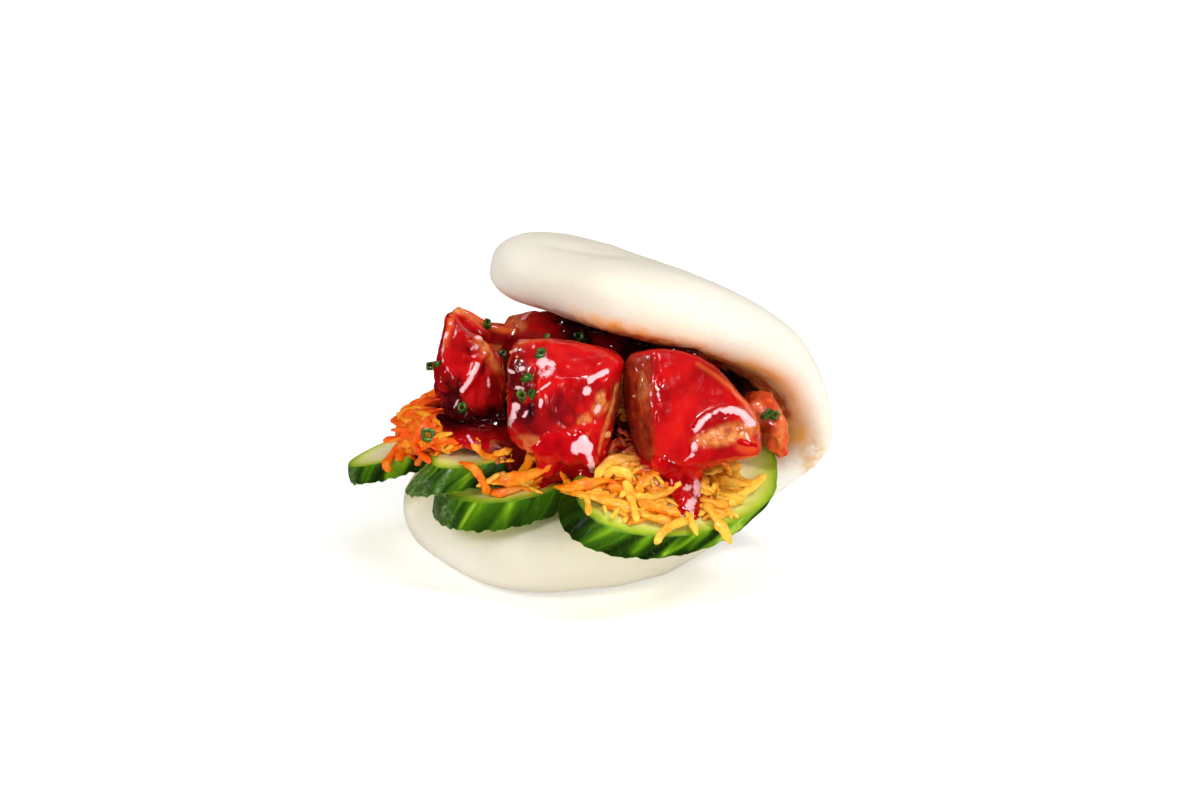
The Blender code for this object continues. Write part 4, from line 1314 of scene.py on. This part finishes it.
# Name, place (metres across the view, away and up from under the bun's middle), size (m), power (W), colour
LAMPS = (
    ("key", (0.55, -0.22, 0.85), (0.2, 0.3), 4.1, WHITE),
    ("left", (-0.62, -0.5, 0.6), (0.3, 0.4), 3.9, (1.0, 0.98, 0.94)),
    ("front", (0.3, -0.95, 0.3), (0.7, 0.4), 2.2, WHITE),
    ("low", (0.6, -0.7, 0.08), (0.5, 0.14), 1.3, WHITE),
    ("top", (0.05, 0.15, 0.95), (0.8, 0.6), 3.1, WHITE),
    ("sheen", (0.08, -0.32, 0.85), (0.14, 0.2), 8.5, WHITE),
    ("sheen_right", (0.75, -0.65, 0.4), (0.12, 0.36), 5.6, WHITE),
    ("sheen_left", (-0.55, -0.6, 0.5), (0.08, 0.3), 3.0, WHITE),
)


def add_lamp(name, place, size, power, colour):
    """A lamp that lights surfaces or, where its name says sheen, only shows in what is glossy."""
    data = bpy.data.lights.new(name, "AREA")
    data.shape = "RECTANGLE"
    data.size, data.size_y = size
    data.energy = power
    data.color = colour
    lamp = link_object(name, data)
    lamp.location = view_way(*place) + AIM * (1, 1, 0)
    lamp.rotation_euler = Vector(AIM - lamp.location).to_track_quat("-Z", "Y").to_euler()
    lamp.visible_glossy = name.startswith("sheen")
    lamp.visible_diffuse = not lamp.visible_glossy


def make_floor():
    floor = new_object("floor", [(-8, -8, 0), (8, -8, 0), (8, 8, 0), (-8, 8, 0)], [(0, 1, 2, 3)])
    s = Shader("floor_paper", Roughness=0.9, Specular_IOR_Level=0.0, Emission_Color=(1, 1, 1, 1))
    distance = s.new("VectorMath", _0=s.coords)
    distance.operation = "LENGTH"
    # The lamps leave the floor dimmer beyond 0.4 m from the bun, so it glows more there
    s.plug(Base_Color=s.ramp(s.noise(0.4, 2), (0.4, 243.4, 243.4, 243.4), (0.6, 245.8, 245.8, 245.8)),
           Emission_Strength=s.remap(distance.outputs["Value"], 0.4, 0.8, 0.3, 0.62))
    floor.data.materials.append(s.material)
    floor.visible_glossy = False


def make_camera():
    data = bpy.data.cameras.new("camera")
    width, height = PICTURE_PX
    data.sensor_width = 36
    data.lens = FOCAL_PX / width * data.sensor_width
    data.shift_x = (width / 2 - AIM_PX[0]) / width
    data.shift_y = (AIM_PX[1] - height / 2) / width
    data.clip_start, data.clip_end = 0.01, 50
    camera = link_object("camera", data)
    camera.matrix_world = Matrix([[RIGHT[i], UP[i], BACK[i], EYE[i]] for i in range(3)] + [[0, 0, 0, 1]])
    bpy.context.scene.camera = camera


def make_studio():
    make_floor()
    world = bpy.data.worlds.new("studio")
    world.use_nodes = True
    background = world.node_tree.nodes["Background"]
    background.inputs["Color"].default_value = (1, 1, 1, 1)
    background.inputs["Strength"].default_value = 0.22
    world.cycles_visibility.glossy = False
    bpy.context.scene.world = world
    for lamp in LAMPS:
        add_lamp(*lamp)
    bpy.context.scene.view_settings.view_transform = "Standard"
    make_camera()


def main():
    make_studio()
    names = sorted(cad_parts)
    chicken_look, cucumber_look = chicken_material(), cucumber_material()
    chicken = [make_chicken(n, chicken_look) for n in names if n.startswith("chicken")]
    cucumbers = [n for n in names if n.startswith("cucumber")]
    slices = [make_slice(n, k + 3, cucumber_look) for k, n in enumerate(cucumbers)]
    chicken_tree = tree_of(*chicken)
    bun = make_bun(chicken_tree)
    core = make_core()
    solids = tree_of(bun, *chicken, *slices)
    torn_apart = [piece for piece in chicken if piece.name in ("glazed_left", "glazed_rear")]
    chicken.append(make_skin(tree_of(*torn_apart), chicken_look))
    shown = [bun, core, *chicken, *slices]
    rng = np.random.default_rng(11)
    shown.append(make_carrot(core, tree_of(*shown), tree_of(core, *slices), solids, chicken_tree, rng))
    # Carrot colours darkened with painted shade, for the core between the shreds
    core_look = carrot_material("carrot_core", (170, 44, 6), (228, 96, 12), (250, 146, 30), (110, 10, 5))
    finish_piece(core, core_look, "carrot")
    shown.append(make_glaze(tree_of(*shown), sauce_material()))
    topmost = tree_of(*shown)
    make_chives(topmost)
    make_crumbs(topmost)


main()
